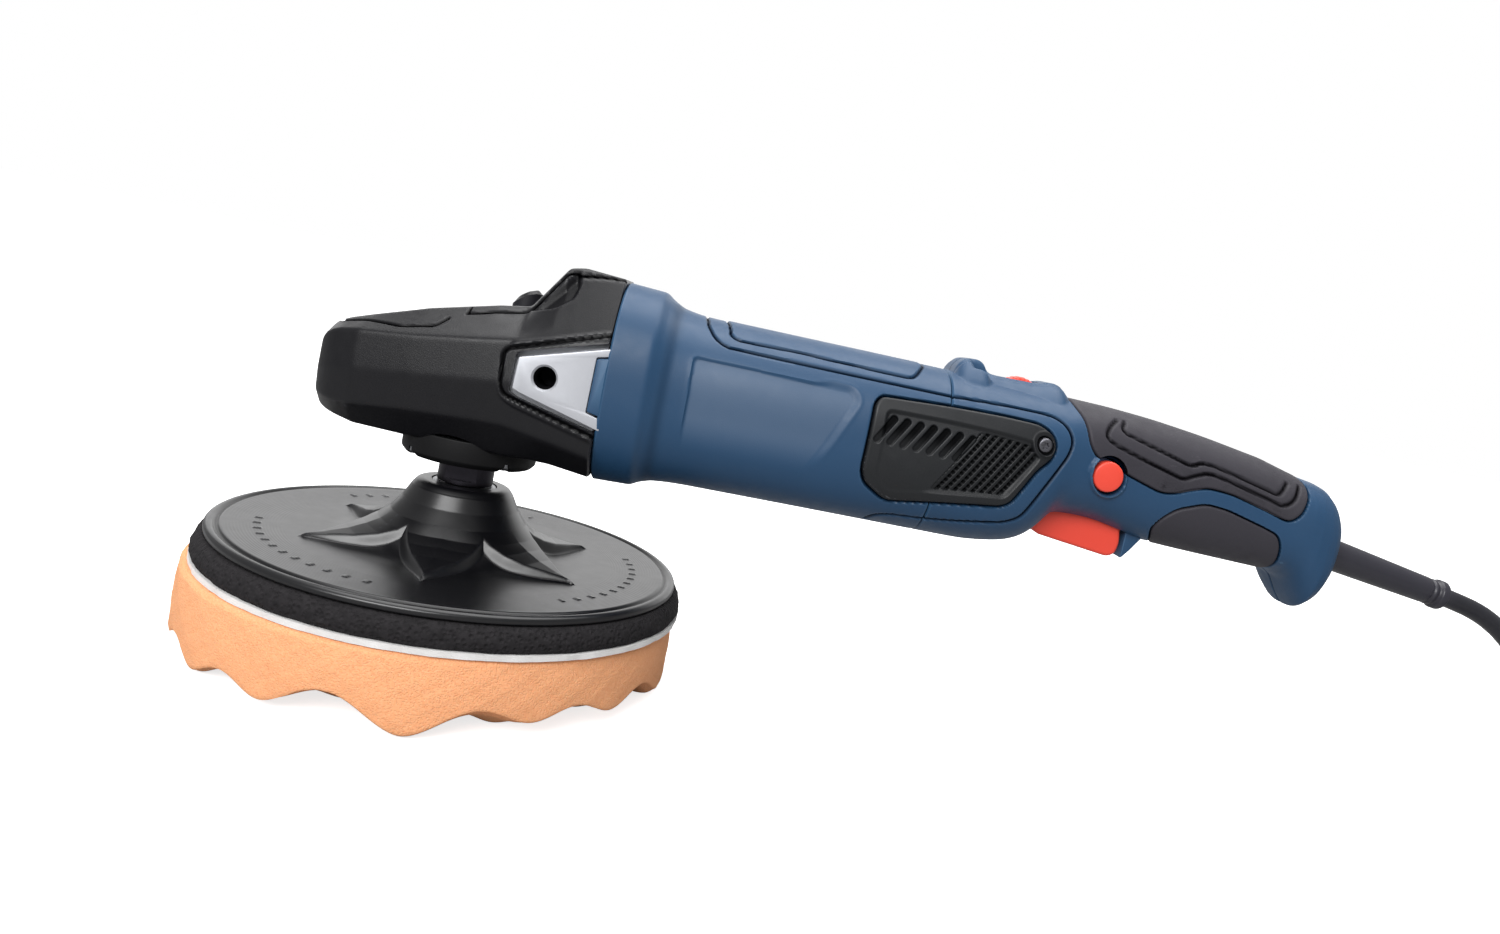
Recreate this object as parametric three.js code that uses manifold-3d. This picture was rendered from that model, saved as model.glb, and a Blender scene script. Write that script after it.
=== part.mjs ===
// Rotary polisher: a right-angle electric polisher with a 180 mm foam pad.
//
// Millimetres, +Z up. The origin is the centre of the pad's working face. The spindle turns about +Z and
// the motor lies along +X, so the handle points along +X. "left" is the -Y side, "right" the +Y side.

import * as THREE from 'three';
import { mergeVertices } from 'three/addons/utils/BufferGeometryUtils.js';
import Module from 'manifold-3d';

const wasm = await Module();
wasm.setup();

// ---------------------------------------------------------------- driving dimensions

const GAP = 0.3;                    // clearance kept between neighbouring pieces
const WALL = 3;                     // moulded wall thickness

const PAD_RADIUS = 90;              // the plate and pad of this class are 180 mm across
const PAD_TOP = 27.4;
const LOOP_TOP = 29.9;
const CUSHION_TOP = 38.1;
const PLATE_RADIUS = 86.6;
const PLATE_TOP = 41.4;
const HUB_TOP = 65;
const MOTOR_AXIS = 113.5;           // height of the motor's axis above the pad's face

const FLANGE_X = 48.5;              // front face of the motor housing's collar
const SEAM_X = 170;                 // motor housing ends and the handle shells begin
const HANDLE_END_X = 334;

const WHEEL_TEETH = 32;
const PINION_TEETH = 10;
const WHEEL_PITCH_RADIUS = 18;
const TOOTH_MODULE = 2 * WHEEL_PITCH_RADIUS / WHEEL_TEETH;

const THREAD_RADIUS = 7;            // M14 spindle thread
const SOCKET_RADIUS = 4;            // M8 side-handle socket
const SOCKET = { x: 28.3, z: MOTOR_AXIS, depth: 16 };
const BOSS_FACE_Y = 36.6;           // where the side handle seats, on both sides

const CORD_RADIUS = 3.75;
const CORD_EXIT = { x: 388.6, z: 96.5 };
const COIL = { x: 520, y: -50, inner: 26, outer: 56, height: 30 };

// Outer shape of the motor housing and handle: [x, half width, top, bottom] of each section.
const HOUSING_SECTIONS = [
  [48.5, 38, 151.8, 77.4],
  [62.5, 37.6, 151, 77.8],
  [65.5, 36, 148.8, 79.4],
  [70, 34.6, 146.4, 80.9],
  [77, 34, 145.2, 81.6],
  [120, 34, 144.8, 82],
  [170, 34, 144.4, 82.3],
  [190, 33.6, 143.9, 82.4],
  [204, 32, 143.5, 84.4],
  [210.5, 30.3, 143.4, 86.8],
  [215, 28.8, 143.3, 92],
  [219, 27.2, 143.2, 99.6],
  [236, 23.6, 142.8, 99.8],
  [250, 22.2, 141.9, 96.8],
  [256, 22, 141.4, 95.6],
  [275, 21, 139.2, 94.8],
  [298, 20.5, 135.6, 94.2],
  [308, 20.8, 133, 94],
  [313, 21.2, 131.8, 92.8],
  [317, 21.4, 131.2, 88.6],
  [321, 21.4, 130.6, 82.6],
  [325, 20.8, 129.4, 80.4],
  [328.6, 19.4, 126.6, 83.6],
  [331.6, 16.5, 122, 89.4],
  [334, 10.5, 114.5, 98],
];
const HOUSING_ROUNDNESS = 2.6;      // superellipse exponent of those sections
const OPEN_END = 1;                 // an inner volume runs past the outer one by this much at an open end

// Outer shape of the head cover. Each section: x, half width at its widest line, half width of the flat
// top, then the heights of the top, shoulder, widest line, lower facet and underside.
const COVER_SECTIONS = [
  [-56.5, 12, 6, 108, 105.5, 99, 93.5, 90],
  [-54.5, 18, 9, 115, 111.5, 100, 91, 86],
  [-50, 22.5, 11.5, 118.2, 114.6, 101.2, 90.2, 84],
  [-40, 27, 13, 121.6, 116.5, 102.8, 89.8, 82],
  [-20, 30.5, 14, 128, 118.7, 104.9, 92, 81.6],
  [5, 34, 15, 134.2, 122.6, 107.8, 93.6, 81.6],
  [16, 35.3, 15.5, 136, 124.6, 109.2, 93.8, 81.4],
  [27.5, 36.6, 17, 152.3, 127, 110.5, 92, 82],
  [33, 37, 17.5, 153.4, 127.8, 111.2, 91.2, 82],
  [48.2, 38, 18, 152.4, 129.6, 113, 88.4, 80.2],
];

// Side outlines as [x, z] points.
const WINDOW_OUTLINE = [[16.5, 106.6], [17, 120.4], [49, 130], [49, 98], [19.5, 105]];
const BOSS_OUTLINE = [[18, 108], [18.5, 118.6], [48, 127.3], [48, 99.6], [20.9, 106.9]];
const VENT_OUTLINE = [
  [143, 104], [143, 128], [145, 130.9], [203.4, 132.2], [208.4, 130], [211, 125.6], [209.8, 120.4],
  [205.4, 116], [198.4, 102.4], [194.8, 100.4], [172.8, 97.4], [154, 94.2], [145, 99.6],
];
const UPPER_GRIP_OUTLINE = [
  [217.5, 146], [218.8, 140.4], [222.4, 135.4], [224.6, 128.6], [228.4, 124.4], [239.4, 121.2],
  [256, 116.4], [261, 117], [266.4, 119.4], [273.5, 121.6], [283.5, 121], [307, 115], [310.8, 118.2],
  [313.2, 124.6], [313.6, 128.5], [311, 146],
];
const LOWER_GRIP_OUTLINE = [
  [266, 92], [257.7, 102.1], [259.8, 106.8], [264.2, 111.2], [274.5, 115.1], [283, 114.5],
  [304.2, 109.1], [306.6, 105.4], [308.9, 98.5], [308.6, 92],
];
const TRIGGER_OUTLINE = [
  [215.6, 92.6], [218.6, 90.4], [247.6, 86.8], [250.4, 88.4], [251.2, 92.8],
  [249.6, 101], [224, 102.8], [219.4, 99.4], [216.2, 95.4],
];
const TRIGGER_HALF_WIDTH = 9.5;

const HANDLE_SCREWS = [[183, 91, 22.5], [268, 131.5, 14.5], [306, 101.5, 13.5]];
const VENT_SCREW = { x: 206.4, z: 125.2, y: 28.9 };
const FLANGE_RADIUS = 25;
const FLANGE_SCREW_CIRCLE = 22.1;      // radius on which the bearing flange's screws sit

// ---------------------------------------------------------------- shape helpers

/** Turns the faces of a closed geometry outward. */
function outward(geometry) {
  const flat = geometry.index ? geometry.toNonIndexed() : geometry;
  const p = flat.attributes.position;
  const a = new THREE.Vector3();
  const b = new THREE.Vector3();
  const c = new THREE.Vector3();
  let volume = 0;
  for (let i = 0; i < p.count; i += 3) {
    a.fromBufferAttribute(p, i);
    b.fromBufferAttribute(p, i + 1);
    c.fromBufferAttribute(p, i + 2);
    volume += a.dot(b.cross(c));
  }
  if (volume < 0) {
    for (let i = 0; i < p.count; i += 3) {
      a.fromBufferAttribute(p, i);
      b.fromBufferAttribute(p, i + 1);
      p.setXYZ(i, b.x, b.y, b.z);
      p.setXYZ(i + 1, a.x, a.y, a.z);
    }
  }
  return weld(flat);
}

/** Leaves only positions and merges shared corners. */
function weld(geometry) {
  geometry.deleteAttribute('normal');
  geometry.deleteAttribute('uv');
  return mergeVertices(geometry, 1e-4);
}

function toSolid(geometry) {
  const welded = outward(geometry);
  const mesh = new wasm.Mesh({
    numProp: 3,
    vertProperties: new Float32Array(welded.attributes.position.array),
    triVerts: new Uint32Array(welded.index.array),
  });
  mesh.merge();
  return new wasm.Manifold(mesh);
}

function toGeometry(solid) {
  const mesh = solid.getMesh();
  const geometry = new THREE.BufferGeometry();
  geometry.setAttribute('position', new THREE.BufferAttribute(new Float32Array(mesh.vertProperties), 3));
  geometry.setIndex(new THREE.BufferAttribute(new Uint32Array(mesh.triVerts), 1));
  return geometry;
}

const join = (first, ...rest) => rest.reduce((sum, part) => sum.add(part), first);
const cut = (first, ...rest) => rest.reduce((sum, part) => sum.subtract(part), first);

/** A box from its lowest to its highest corner. */
function block(low, high) {
  const size = high.map((value, i) => value - low[i]);
  const geometry = new THREE.BoxGeometry(...size);
  geometry.translate(...high.map((value, i) => (value + low[i]) / 2));
  return toSolid(geometry);
}

/** A solid of revolution. The profile is a closed outline of [radius, height along the axis] points. */
function turned(profile, axis = 'z', segments = 32) {
  const points = profile.map(([r, h]) => new THREE.Vector2(r, h));
  const onAxis = profile[0][0] === 0 && profile[profile.length - 1][0] === 0;
  if (!onAxis) points.push(points[0].clone());
  const geometry = new THREE.LatheGeometry(points, segments);
  if (axis === 'z') geometry.rotateX(Math.PI / 2);
  if (axis === 'x') geometry.rotateZ(-Math.PI / 2);
  return toSolid(geometry);
}

/** A ring between two radii and two heights along an axis. */
function ring(inner, outer, low, high, axis = 'z', segments = 32) {
  const profile = inner > 0
    ? [[inner, low], [outer, low], [outer, high], [inner, high]]
    : [[0, low], [outer, low], [outer, high], [0, high]];
  return turned(profile, axis, segments);
}

/** A cylinder along Y through [x, z], from y0 to y1. */
function pegY(x, z, radius, y0, y1, segments = 12) {
  const geometry = new THREE.CylinderGeometry(radius, radius, y1 - y0, segments);
  geometry.translate(x, (y0 + y1) / 2, z);
  return toSolid(geometry);
}

/** A side outline of [x, z] points, extruded from y0 to y1. */
function slab(outline, y0, y1) {
  const shape = new THREE.Shape(outline.map(([x, z]) => new THREE.Vector2(x, z)));
  const geometry = new THREE.ExtrudeGeometry(shape, { depth: y1 - y0, bevelEnabled: false });
  geometry.rotateX(Math.PI / 2);
  geometry.translate(0, y1, 0);
  return toSolid(geometry);
}

/** Moves each corner of an outline away from its middle, or towards it where the distance is negative. */
function grown(outline, distance) {
  const cx = outline.reduce((sum, [x]) => sum + x, 0) / outline.length;
  const cz = outline.reduce((sum, [, z]) => sum + z, 0) / outline.length;
  return outline.map(([x, z]) => {
    const reach = Math.hypot(x - cx, z - cz);
    const factor = (reach + distance) / reach;
    return [cx + (x - cx) * factor, cz + (z - cz) * factor];
  });
}

/** A closed skin over rings of equally many points, one ring after the other. */
function loft(rings) {
  const count = rings[0].length;
  const positions = rings.flat(2);
  const index = [];
  for (let r = 0; r + 1 < rings.length; r += 1) {
    for (let i = 0; i < count; i += 1) {
      const a = r * count + i;
      const b = r * count + (i + 1) % count;
      index.push(a, b, a + count, b, b + count, a + count);
    }
  }
  const closeEnd = (r, flip) => {
    const centre = new THREE.Vector3();
    rings[r].forEach((point) => centre.add(new THREE.Vector3(...point)));
    centre.divideScalar(count);
    const hub = positions.length / 3;
    positions.push(centre.x, centre.y, centre.z);
    for (let i = 0; i < count; i += 1) {
      const a = r * count + i;
      const b = r * count + (i + 1) % count;
      index.push(hub, ...(flip ? [b, a] : [a, b]));
    }
  };
  closeEnd(0, true);
  closeEnd(rings.length - 1, false);
  const geometry = new THREE.BufferGeometry();
  geometry.setAttribute('position', new THREE.BufferAttribute(new Float32Array(positions), 3));
  geometry.setIndex(index);
  return toSolid(geometry);
}

/** One superellipse ring of the housing, inset by a wall. */
function housingRing([x, halfWidth, top, bottom], inset, count = 20) {
  const middle = (top + bottom) / 2;
  const halfHeight = (top - bottom) / 2 - inset;
  const bulge = (value) => Math.sign(value) * Math.abs(value) ** (2 / HOUSING_ROUNDNESS);
  return Array.from({ length: count }, (_, i) => {
    const angle = 2 * Math.PI * (i + 0.5) / count;
    return [x, (halfWidth - inset) * bulge(Math.cos(angle)), middle + halfHeight * bulge(Math.sin(angle))];
  });
}

/** The housing's outer volume, inset by a wall. An inset volume opens the front and closes the handle's end. */
function housingVolume(inset) {
  if (inset <= 0) return loft(HOUSING_SECTIONS.map((section) => housingRing(section, inset)));
  const sections = HOUSING_SECTIONS.filter(([x]) => x <= HANDLE_END_X - 6).map((section) => [...section]);
  sections[0][0] -= OPEN_END;
  return loft(sections.map((section) => housingRing(section, inset)));
}

/** One faceted ring of the head cover, inset by a wall. */
function coverRing([x, half, flat, top, shoulder, wide, lower, under], inset) {
  const side = [
    [flat - inset * 0.4, top - inset],
    [half * 0.94 - inset, shoulder - inset * 0.5],
    [half - inset, wide],
    [half * 0.95 - inset, lower + inset * 0.2],
    [half * 0.66 - inset * 0.6, under + inset],
  ];
  const left = side.map(([y, z]) => [x, -y, z]);
  const right = side.map(([y, z]) => [x, y, z]).reverse();
  return [...left, ...right];
}

function coverVolume(inset) {
  const sections = COVER_SECTIONS.map((section) => [...section]);
  sections[0][0] += inset;
  if (inset > 0) sections[sections.length - 1][0] += OPEN_END;
  return loft(sections.map((section) => coverRing(section, inset)));
}

// ---------------------------------------------------------------- scene graph

const polisher = new THREE.Group();

const FINISHES = {
  blue: { color: 0x2f5574, roughness: 0.5, metalness: 0 },
  black: { color: 0x2b2b2f, roughness: 0.5, metalness: 0 },
  rubber: { color: 0x454349, roughness: 0.8, metalness: 0 },
  red: { color: 0xee5540, roughness: 0.45, metalness: 0 },
  foam: { color: 0xf9a873, roughness: 0.95, metalness: 0 },
  cushion: { color: 0x1d1d20, roughness: 0.95, metalness: 0 },
  fleece: { color: 0xf2f2f0, roughness: 0.95, metalness: 0 },
  aluminium: { color: 0xc9ccd2, roughness: 0.35, metalness: 0.9 },
  steel: { color: 0x9a9ca0, roughness: 0.3, metalness: 1 },
  copper: { color: 0xb87333, roughness: 0.35, metalness: 1 },
  carbon: { color: 0x333333, roughness: 0.7, metalness: 0.1 },
};

function add(name, shape, finish) {
  const geometry = shape.isBufferGeometry ? shape : toGeometry(shape);
  const mesh = new THREE.Mesh(geometry, new THREE.MeshStandardMaterial({ ...FINISHES[finish] }));
  mesh.name = name;
  polisher.add(mesh);
  return mesh;
}

const SIDES = [['left', -1], ['right', 1]];

/** The same solid on the other side of the XZ plane. */
const onSide = (solid, side) => (side < 0 ? solid : solid.mirror([0, 1, 0]));

// ---------------------------------------------------------------- pad and plate

function polishingPad() {
  return turned([[0, 0], [PAD_RADIUS - 3, 0], [PAD_RADIUS, 4], [PAD_RADIUS, PAD_TOP], [0, PAD_TOP]], 'z', 36);
}

function loopLayer() {
  return ring(0, PAD_RADIUS - 0.6, PAD_TOP + GAP, LOOP_TOP, 'z', 36);
}

function cushionLayer() {
  const low = LOOP_TOP + GAP;
  return turned([[0, low], [PAD_RADIUS, low], [PLATE_RADIUS + 0.8, CUSHION_TOP], [0, CUSHION_TOP]], 'z', 36);
}

function backingPlate() {
  const low = CUSHION_TOP + GAP;
  const profile = [
    [0, low], [PLATE_RADIUS, low], [PLATE_RADIUS, PLATE_TOP - 0.6], [PLATE_RADIUS - 1, PLATE_TOP],
    [44, PLATE_TOP - 1.2], [37, 40.8], [33, 42.6], [29.4, 45.8], [25.4, 51], [21.6, 57], [18.8, 63.6], [17.2, HUB_TOP],
    [0, HUB_TOP],
  ];
  const insertBore = ring(0, 12.3, 45.7, HUB_TOP + 1, 'z', 18);
  return cut(turned(profile, 'z', 36), insertBore);
}

function plateInsert() {
  return ring(THREAD_RADIUS + GAP, 12, 46, HUB_TOP - GAP, 'z', 18);
}

// ---------------------------------------------------------------- gear head

/** A point of a bevel gear whose axis is `a`, at cone distance `along` and `height` off the pitch cone. */
function bevelPoint(coneAngle, along, height, turn) {
  const radius = along * Math.sin(coneAngle) + height * Math.cos(coneAngle);
  const axial = along * Math.cos(coneAngle) - height * Math.sin(coneAngle);
  return [radius * Math.cos(turn), radius * Math.sin(turn), axial];
}

// Half of a tooth's width at its root and tip, as shares of the pitch. They leave backlash.
const ROOT_SHARE = 0.155;
const TIP_SHARE = 0.045;

/** Straight bevel teeth round the +Z axis, with the pitch cone's point at the origin. */
function bevelTeeth(teeth, coneAngle, nearEnd, farEnd, phase) {
  const pitch = 2 * Math.PI / teeth;
  const tooth = (middle) => {
    const end = (along) => {
      const scale = along / farEnd * TOOTH_MODULE;
      const corner = (height, half) => bevelPoint(coneAngle, along, height * scale, middle + half * pitch);
      return [
        corner(-1.5, -ROOT_SHARE), corner(-1.5, ROOT_SHARE), corner(0.7, TIP_SHARE), corner(0.7, -TIP_SHARE),
      ];
    };
    return loft([end(nearEnd), end(farEnd)]);
  };
  return Array.from({ length: teeth }, (_, i) => tooth((i + phase) * pitch));
}

const CONE_DISTANCE = WHEEL_PITCH_RADIUS / Math.sin(Math.atan(WHEEL_TEETH / PINION_TEETH));
const TOOTH_NEAR_END = CONE_DISTANCE - 4.3;

function crownWheel() {
  const coneAngle = Math.atan(WHEEL_TEETH / PINION_TEETH);
  const teeth = bevelTeeth(WHEEL_TEETH, coneAngle, TOOTH_NEAR_END, CONE_DISTANCE, 0.5);
  const blank = turned([
    [8.3, 5.6], [13, 5.6], [13.4, 5.2], [17.7, 6.9], [17.7, 10], [13, 13.6], [8.3, 13.6],
  ], 'z', 20);
  return join(blank, ...teeth).rotate([180, 0, 0]).translate([0, 0, MOTOR_AXIS]);
}

function pinion() {
  const coneAngle = Math.atan(PINION_TEETH / WHEEL_TEETH);
  const teeth = bevelTeeth(PINION_TEETH, coneAngle, TOOTH_NEAR_END, CONE_DISTANCE, 0);
  const blank = turned([[0, 13.8], [3.3, 13.8], [4.3, 18], [6.4, 18.4], [6.4, 24.5], [0, 24.5]], 'z', 12);
  const bore = ring(0, 2.5, 15.5, 26, 'z', 10);
  return cut(join(blank, ...teeth), bore).rotate([0, 90, 0]).translate([0, 0, MOTOR_AXIS]);
}

function spindle() {
  const profile = [
    [0, 47], [6, 47], [THREAD_RADIUS, 48], [THREAD_RADIUS, HUB_TOP - 0.4], [7.6, HUB_TOP + GAP],
    [10.4, HUB_TOP + GAP], [10.4, 78.6], [8.4, 79.4], [8.4, 96.5], [8, 97], [8, 108], [5.7, 109],
    [5.7, 127], [4.8, 128], [0, 128],
  ];
  const flats = SIDES.map(([, side]) => {
    const y = [8.6 * side, 12 * side].sort((a, b) => a - b);
    return block([-12, y[0], 67], [12, y[1], 74]);
  });
  return cut(turned(profile, 'z', 18), ...flats);
}

function gearHousing() {
  const clip = block([-33, -40, 84.6], [FLANGE_X - 0.6, 40, 160]);
  const casting = coverVolume(WALL + GAP).intersect(clip);
  const boss = slab(BOSS_OUTLINE, -BOSS_FACE_Y, BOSS_FACE_Y);
  const wheelChamber = ring(0, 19.3, 80, 110.5, 'z', 28);
  const pinionTunnel = ring(0, 11, 0, 50, 'x', 20).translate([0, 0, MOTOR_AXIS]);
  const topBearingPocket = ring(0, 9, 109, 129, 'z', 24);
  const sockets = SIDES.map(([, side]) => {
    const y = [BOSS_FACE_Y + 1, BOSS_FACE_Y - SOCKET.depth].map((value) => value * side).sort((a, b) => a - b);
    return pegY(SOCKET.x, SOCKET.z, SOCKET_RADIUS, y[0], y[1]);
  });
  const lockBore = join(
    ring(0, LOCK.pinRadius + GAP, 100, 132, 'z', 12).translate([LOCK_PIN.x, LOCK_PIN.y, 0]),
    ring(0, LOCK.radius + 0.4, LOCK.base - 4.5, 150, 'z', 14).translate([LOCK.x, LOCK.y, 0]),
  );
  const screwHoles = FLANGE_SCREW_SPOTS.map(([x, y]) => ring(0, 1.9, 84, 94, 'z', 10).translate([x, y, 0]));
  const plateSeat = ring(0, 20, FLANGE_X - 6, 50, 'x', 28).translate([0, 0, MOTOR_AXIS]);
  const chambers = [wheelChamber, pinionTunnel, topBearingPocket, plateSeat];
  return cut(join(casting, boss), ...chambers, ...sockets, lockBore, ...screwHoles);
}

function bearingFlange() {
  const body = turned([
    [0, FLANGE_LOW], [FLANGE_RADIUS - 1.6, FLANGE_LOW], [FLANGE_RADIUS, FLANGE_LOW + 1.8],
    [FLANGE_RADIUS, 84.3], [19, 84.3], [19, 94], [0, 94],
  ], 'z', 28);
  const shaftHole = ring(0, 10.9, 70, 100, 'z', 20);
  const bearingSeat = ring(0, 16.5, 82, 100, 'z', 24);
  const screwHoles = FLANGE_SCREW_SPOTS.map(([x, y]) => join(
    ring(0, 1.9, 70, 90, 'z', 10),
    ring(0, 3, 70, FLANGE_LOW + 3.4, 'z', 12),
  ).translate([x, y, 0]));
  return cut(body, shaftHole, bearingSeat, ...screwHoles);
}

const FLANGE_LOW = 74.6;
const FLANGE_SCREW_SPOTS = [[-1, -1], [1, -1], [1, 1], [-1, 1]]
  .map(([x, y]) => [x * FLANGE_SCREW_CIRCLE * Math.SQRT1_2, y * FLANGE_SCREW_CIRCLE * Math.SQRT1_2]);

/** A screw pointing up +Z, with the outer face of its head at z = 0. */
function screw(headRadius, headHeight, shankRadius, length) {
  return turned([
    [0, 0], [headRadius * 0.85, 0], [headRadius, headHeight * 0.4], [headRadius, headHeight],
    [shankRadius, headHeight], [shankRadius, headHeight + length], [0, headHeight + length],
  ], 'z', 10);
}

// The spindle-lock button: its cap stands in the head cover, and its pin comes down beside the spindle.
const LOCK = { x: 9.5, y: 11.8, radius: 5.4, base: 134.2, pinRadius: 1.5, pinLow: 114.6 };
const LOCK_PIN = { x: 7.1, y: 8.8 };
const LOCK_CAP_OUTLINE = [[3, 134.2], [3, 134.6], [7.2, 139.4], [13, 143], [16, 143], [16, 134.2]];

function headCover() {
  const shell = cut(coverVolume(0), coverVolume(WALL));
  const window = slab(WINDOW_OUTLINE, -45, 45);
  const underside = ring(0, FLANGE_RADIUS + GAP, 70, 86, 'z', 28);
  const lockHole = ring(0, LOCK.radius + 0.5, 128, 156, 'z', 14).translate([LOCK.x, LOCK.y, 0]);
  return cut(shell, window, underside, lockHole);
}

function spindleLockButton() {
  const cap = ring(0, LOCK.radius, LOCK.base, LOCK.base + 12, 'z', 14)
    .translate([LOCK.x, LOCK.y, 0])
    .intersect(slab(LOCK_CAP_OUTLINE, 0, 20));
  const pin = ring(0, LOCK.pinRadius, LOCK.pinLow, LOCK.base + 0.5, 'z', 12)
    .translate([LOCK_PIN.x, LOCK_PIN.y, 0]);
  return join(cap, pin);
}

// ---------------------------------------------------------------- motor

const alongMotor = (solid) => solid.translate([0, 0, MOTOR_AXIS]);

function armatureShaft() {
  return alongMotor(turned([
    [0, 15.8], [2.2, 15.8], [2.2, 24.8], [4, 24.8], [4, 60], [5, 61], [5, 154], [4, 155], [4, 168], [0, 168],
  ], 'x', 16));
}

function armatureCore() {
  const slots = 12;
  const core = ring(5.3, 17.3, 88, 126, 'x', 24);
  const slot = block([87, -1, 12.5], [127, 1, 18]);
  const cuts = Array.from({ length: slots }, (_, i) => slot.rotate([360 * i / slots, 0, 0]));
  return alongMotor(cut(core, ...cuts));
}

function endWinding(low, high) {
  return alongMotor(turned([[5.3, low], [13, low], [15, (low + high) / 2], [13, high], [5.3, high]], 'x', 16));
}

function coolingFan() {
  const hub = ring(5.3, 9, 64.5, 74, 'x', 20);
  const disc = ring(5.3, 26.5, 72.4, 74, 'x', 24);
  const blades = 9;
  const blade = block([65, -0.8, 8], [73, 0.8, 25.5]);
  const fan = Array.from({ length: blades }, (_, i) => blade.rotate([360 * i / blades, 0, 0]));
  return alongMotor(join(hub, disc, ...fan));
}

/** A curved saddle of winding, above (+1) or below (-1) the armature. */
function fieldCoil(direction) {
  const inner = 18.4;
  const outer = 21.7;
  const spread = THREE.MathUtils.degToRad(62);
  const middle = direction * Math.PI / 2;
  const shape = new THREE.Shape();
  shape.absarc(0, 0, outer, middle - spread, middle + spread, false);
  shape.absarc(0, 0, inner, middle + spread, middle - spread, true);
  const geometry = new THREE.ExtrudeGeometry(shape, { depth: 54, bevelEnabled: false, curveSegments: 10 });
  geometry.rotateY(Math.PI / 2);
  geometry.rotateX(Math.PI / 2);
  return alongMotor(toSolid(geometry).translate([80, 0, 0]));
}

function brushHolder(side) {
  const tube = block([137, -28, MOTOR_AXIS - 5], [150, -13, MOTOR_AXIS + 5]);
  const hole = block([139, -29, MOTOR_AXIS - 3], [148, -12, MOTOR_AXIS + 3]);
  return onSide(cut(tube, hole), side);
}

function carbonBrush(side) {
  return onSide(block([139.3, -25, MOTOR_AXIS - 2.7], [147.7, -12, MOTOR_AXIS + 2.7]), side);
}

// ---------------------------------------------------------------- housing and handle

const housingOuter = housingVolume(0);
const housingWall = cut(housingOuter, housingVolume(WALL));

/** The recess that takes a vent cover, and the air opening behind it, on both sides. */
function ventOpenings() {
  const seat = slab(grown(VENT_OUTLINE, GAP), -50, 50).subtract(housingVolume(2.2));
  const opening = slab(grown(VENT_OUTLINE, -5), -50, 50);
  const middle = block([100, -20, 60], [250, 20, 160]);
  return join(seat, opening).subtract(middle);
}

function motorHousing() {
  const reach = block([FLANGE_X - 1, -60, 60], [SEAM_X, 60, 170]);
  const web = ring(9.8, 33, 158, 166, 'x', 24).translate([0, 0, MOTOR_AXIS]).intersect(housingOuter);
  const airways = [45, 135, 225, 315].map((angle) => {
    const turn = THREE.MathUtils.degToRad(angle);
    const at = [0, 18.5 * Math.cos(turn), MOTOR_AXIS + 18.5 * Math.sin(turn)];
    return ring(0, 5.5, 156, 168, 'x', 8).translate(at);
  });
  const body = housingWall.intersect(reach);
  const spider = cut(web, ...airways);
  return cut(join(body, spider), ventOpenings());
}

function ventCover(side) {
  const skin = cut(housingOuter, housingVolume(1.9));
  const plate = skin.intersect(slab(VENT_OUTLINE, -50, -20));
  const slots = Array.from({ length: 7 }, (_, i) => {
    const x = 150 + i * 5.2;
    return slab([[x, 112], [x + 2.2, 112], [x + 8.2, 125.5], [x + 6, 125.5]], -50, -20);
  });
  const screwHole = pegY(VENT_SCREW.x, VENT_SCREW.z, 2, -50, -20, 12);
  const counterbore = pegY(VENT_SCREW.x, VENT_SCREW.z, 3.1, -50, GAP - VENT_SCREW.y);
  return onSide(cut(plate, ...slots, screwHole, counterbore), side);
}

/** The island on top of the handle: a thumb rest in front, the speed wheel's slot, and a rear hump. */
function island() {
  const outline = [
    [173, 138], [174.5, 146], [178, 150.4], [184.5, 151.4], [187.2, 149.5], [190, 146], [207, 146.2],
    [214, 145.2], [220, 142], [220, 138],
  ];
  return slab(outline, -9, 9);
}

const DIAL = { x: 200.6, z: 138.4, radius: 9, halfWidth: 3 };

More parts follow.
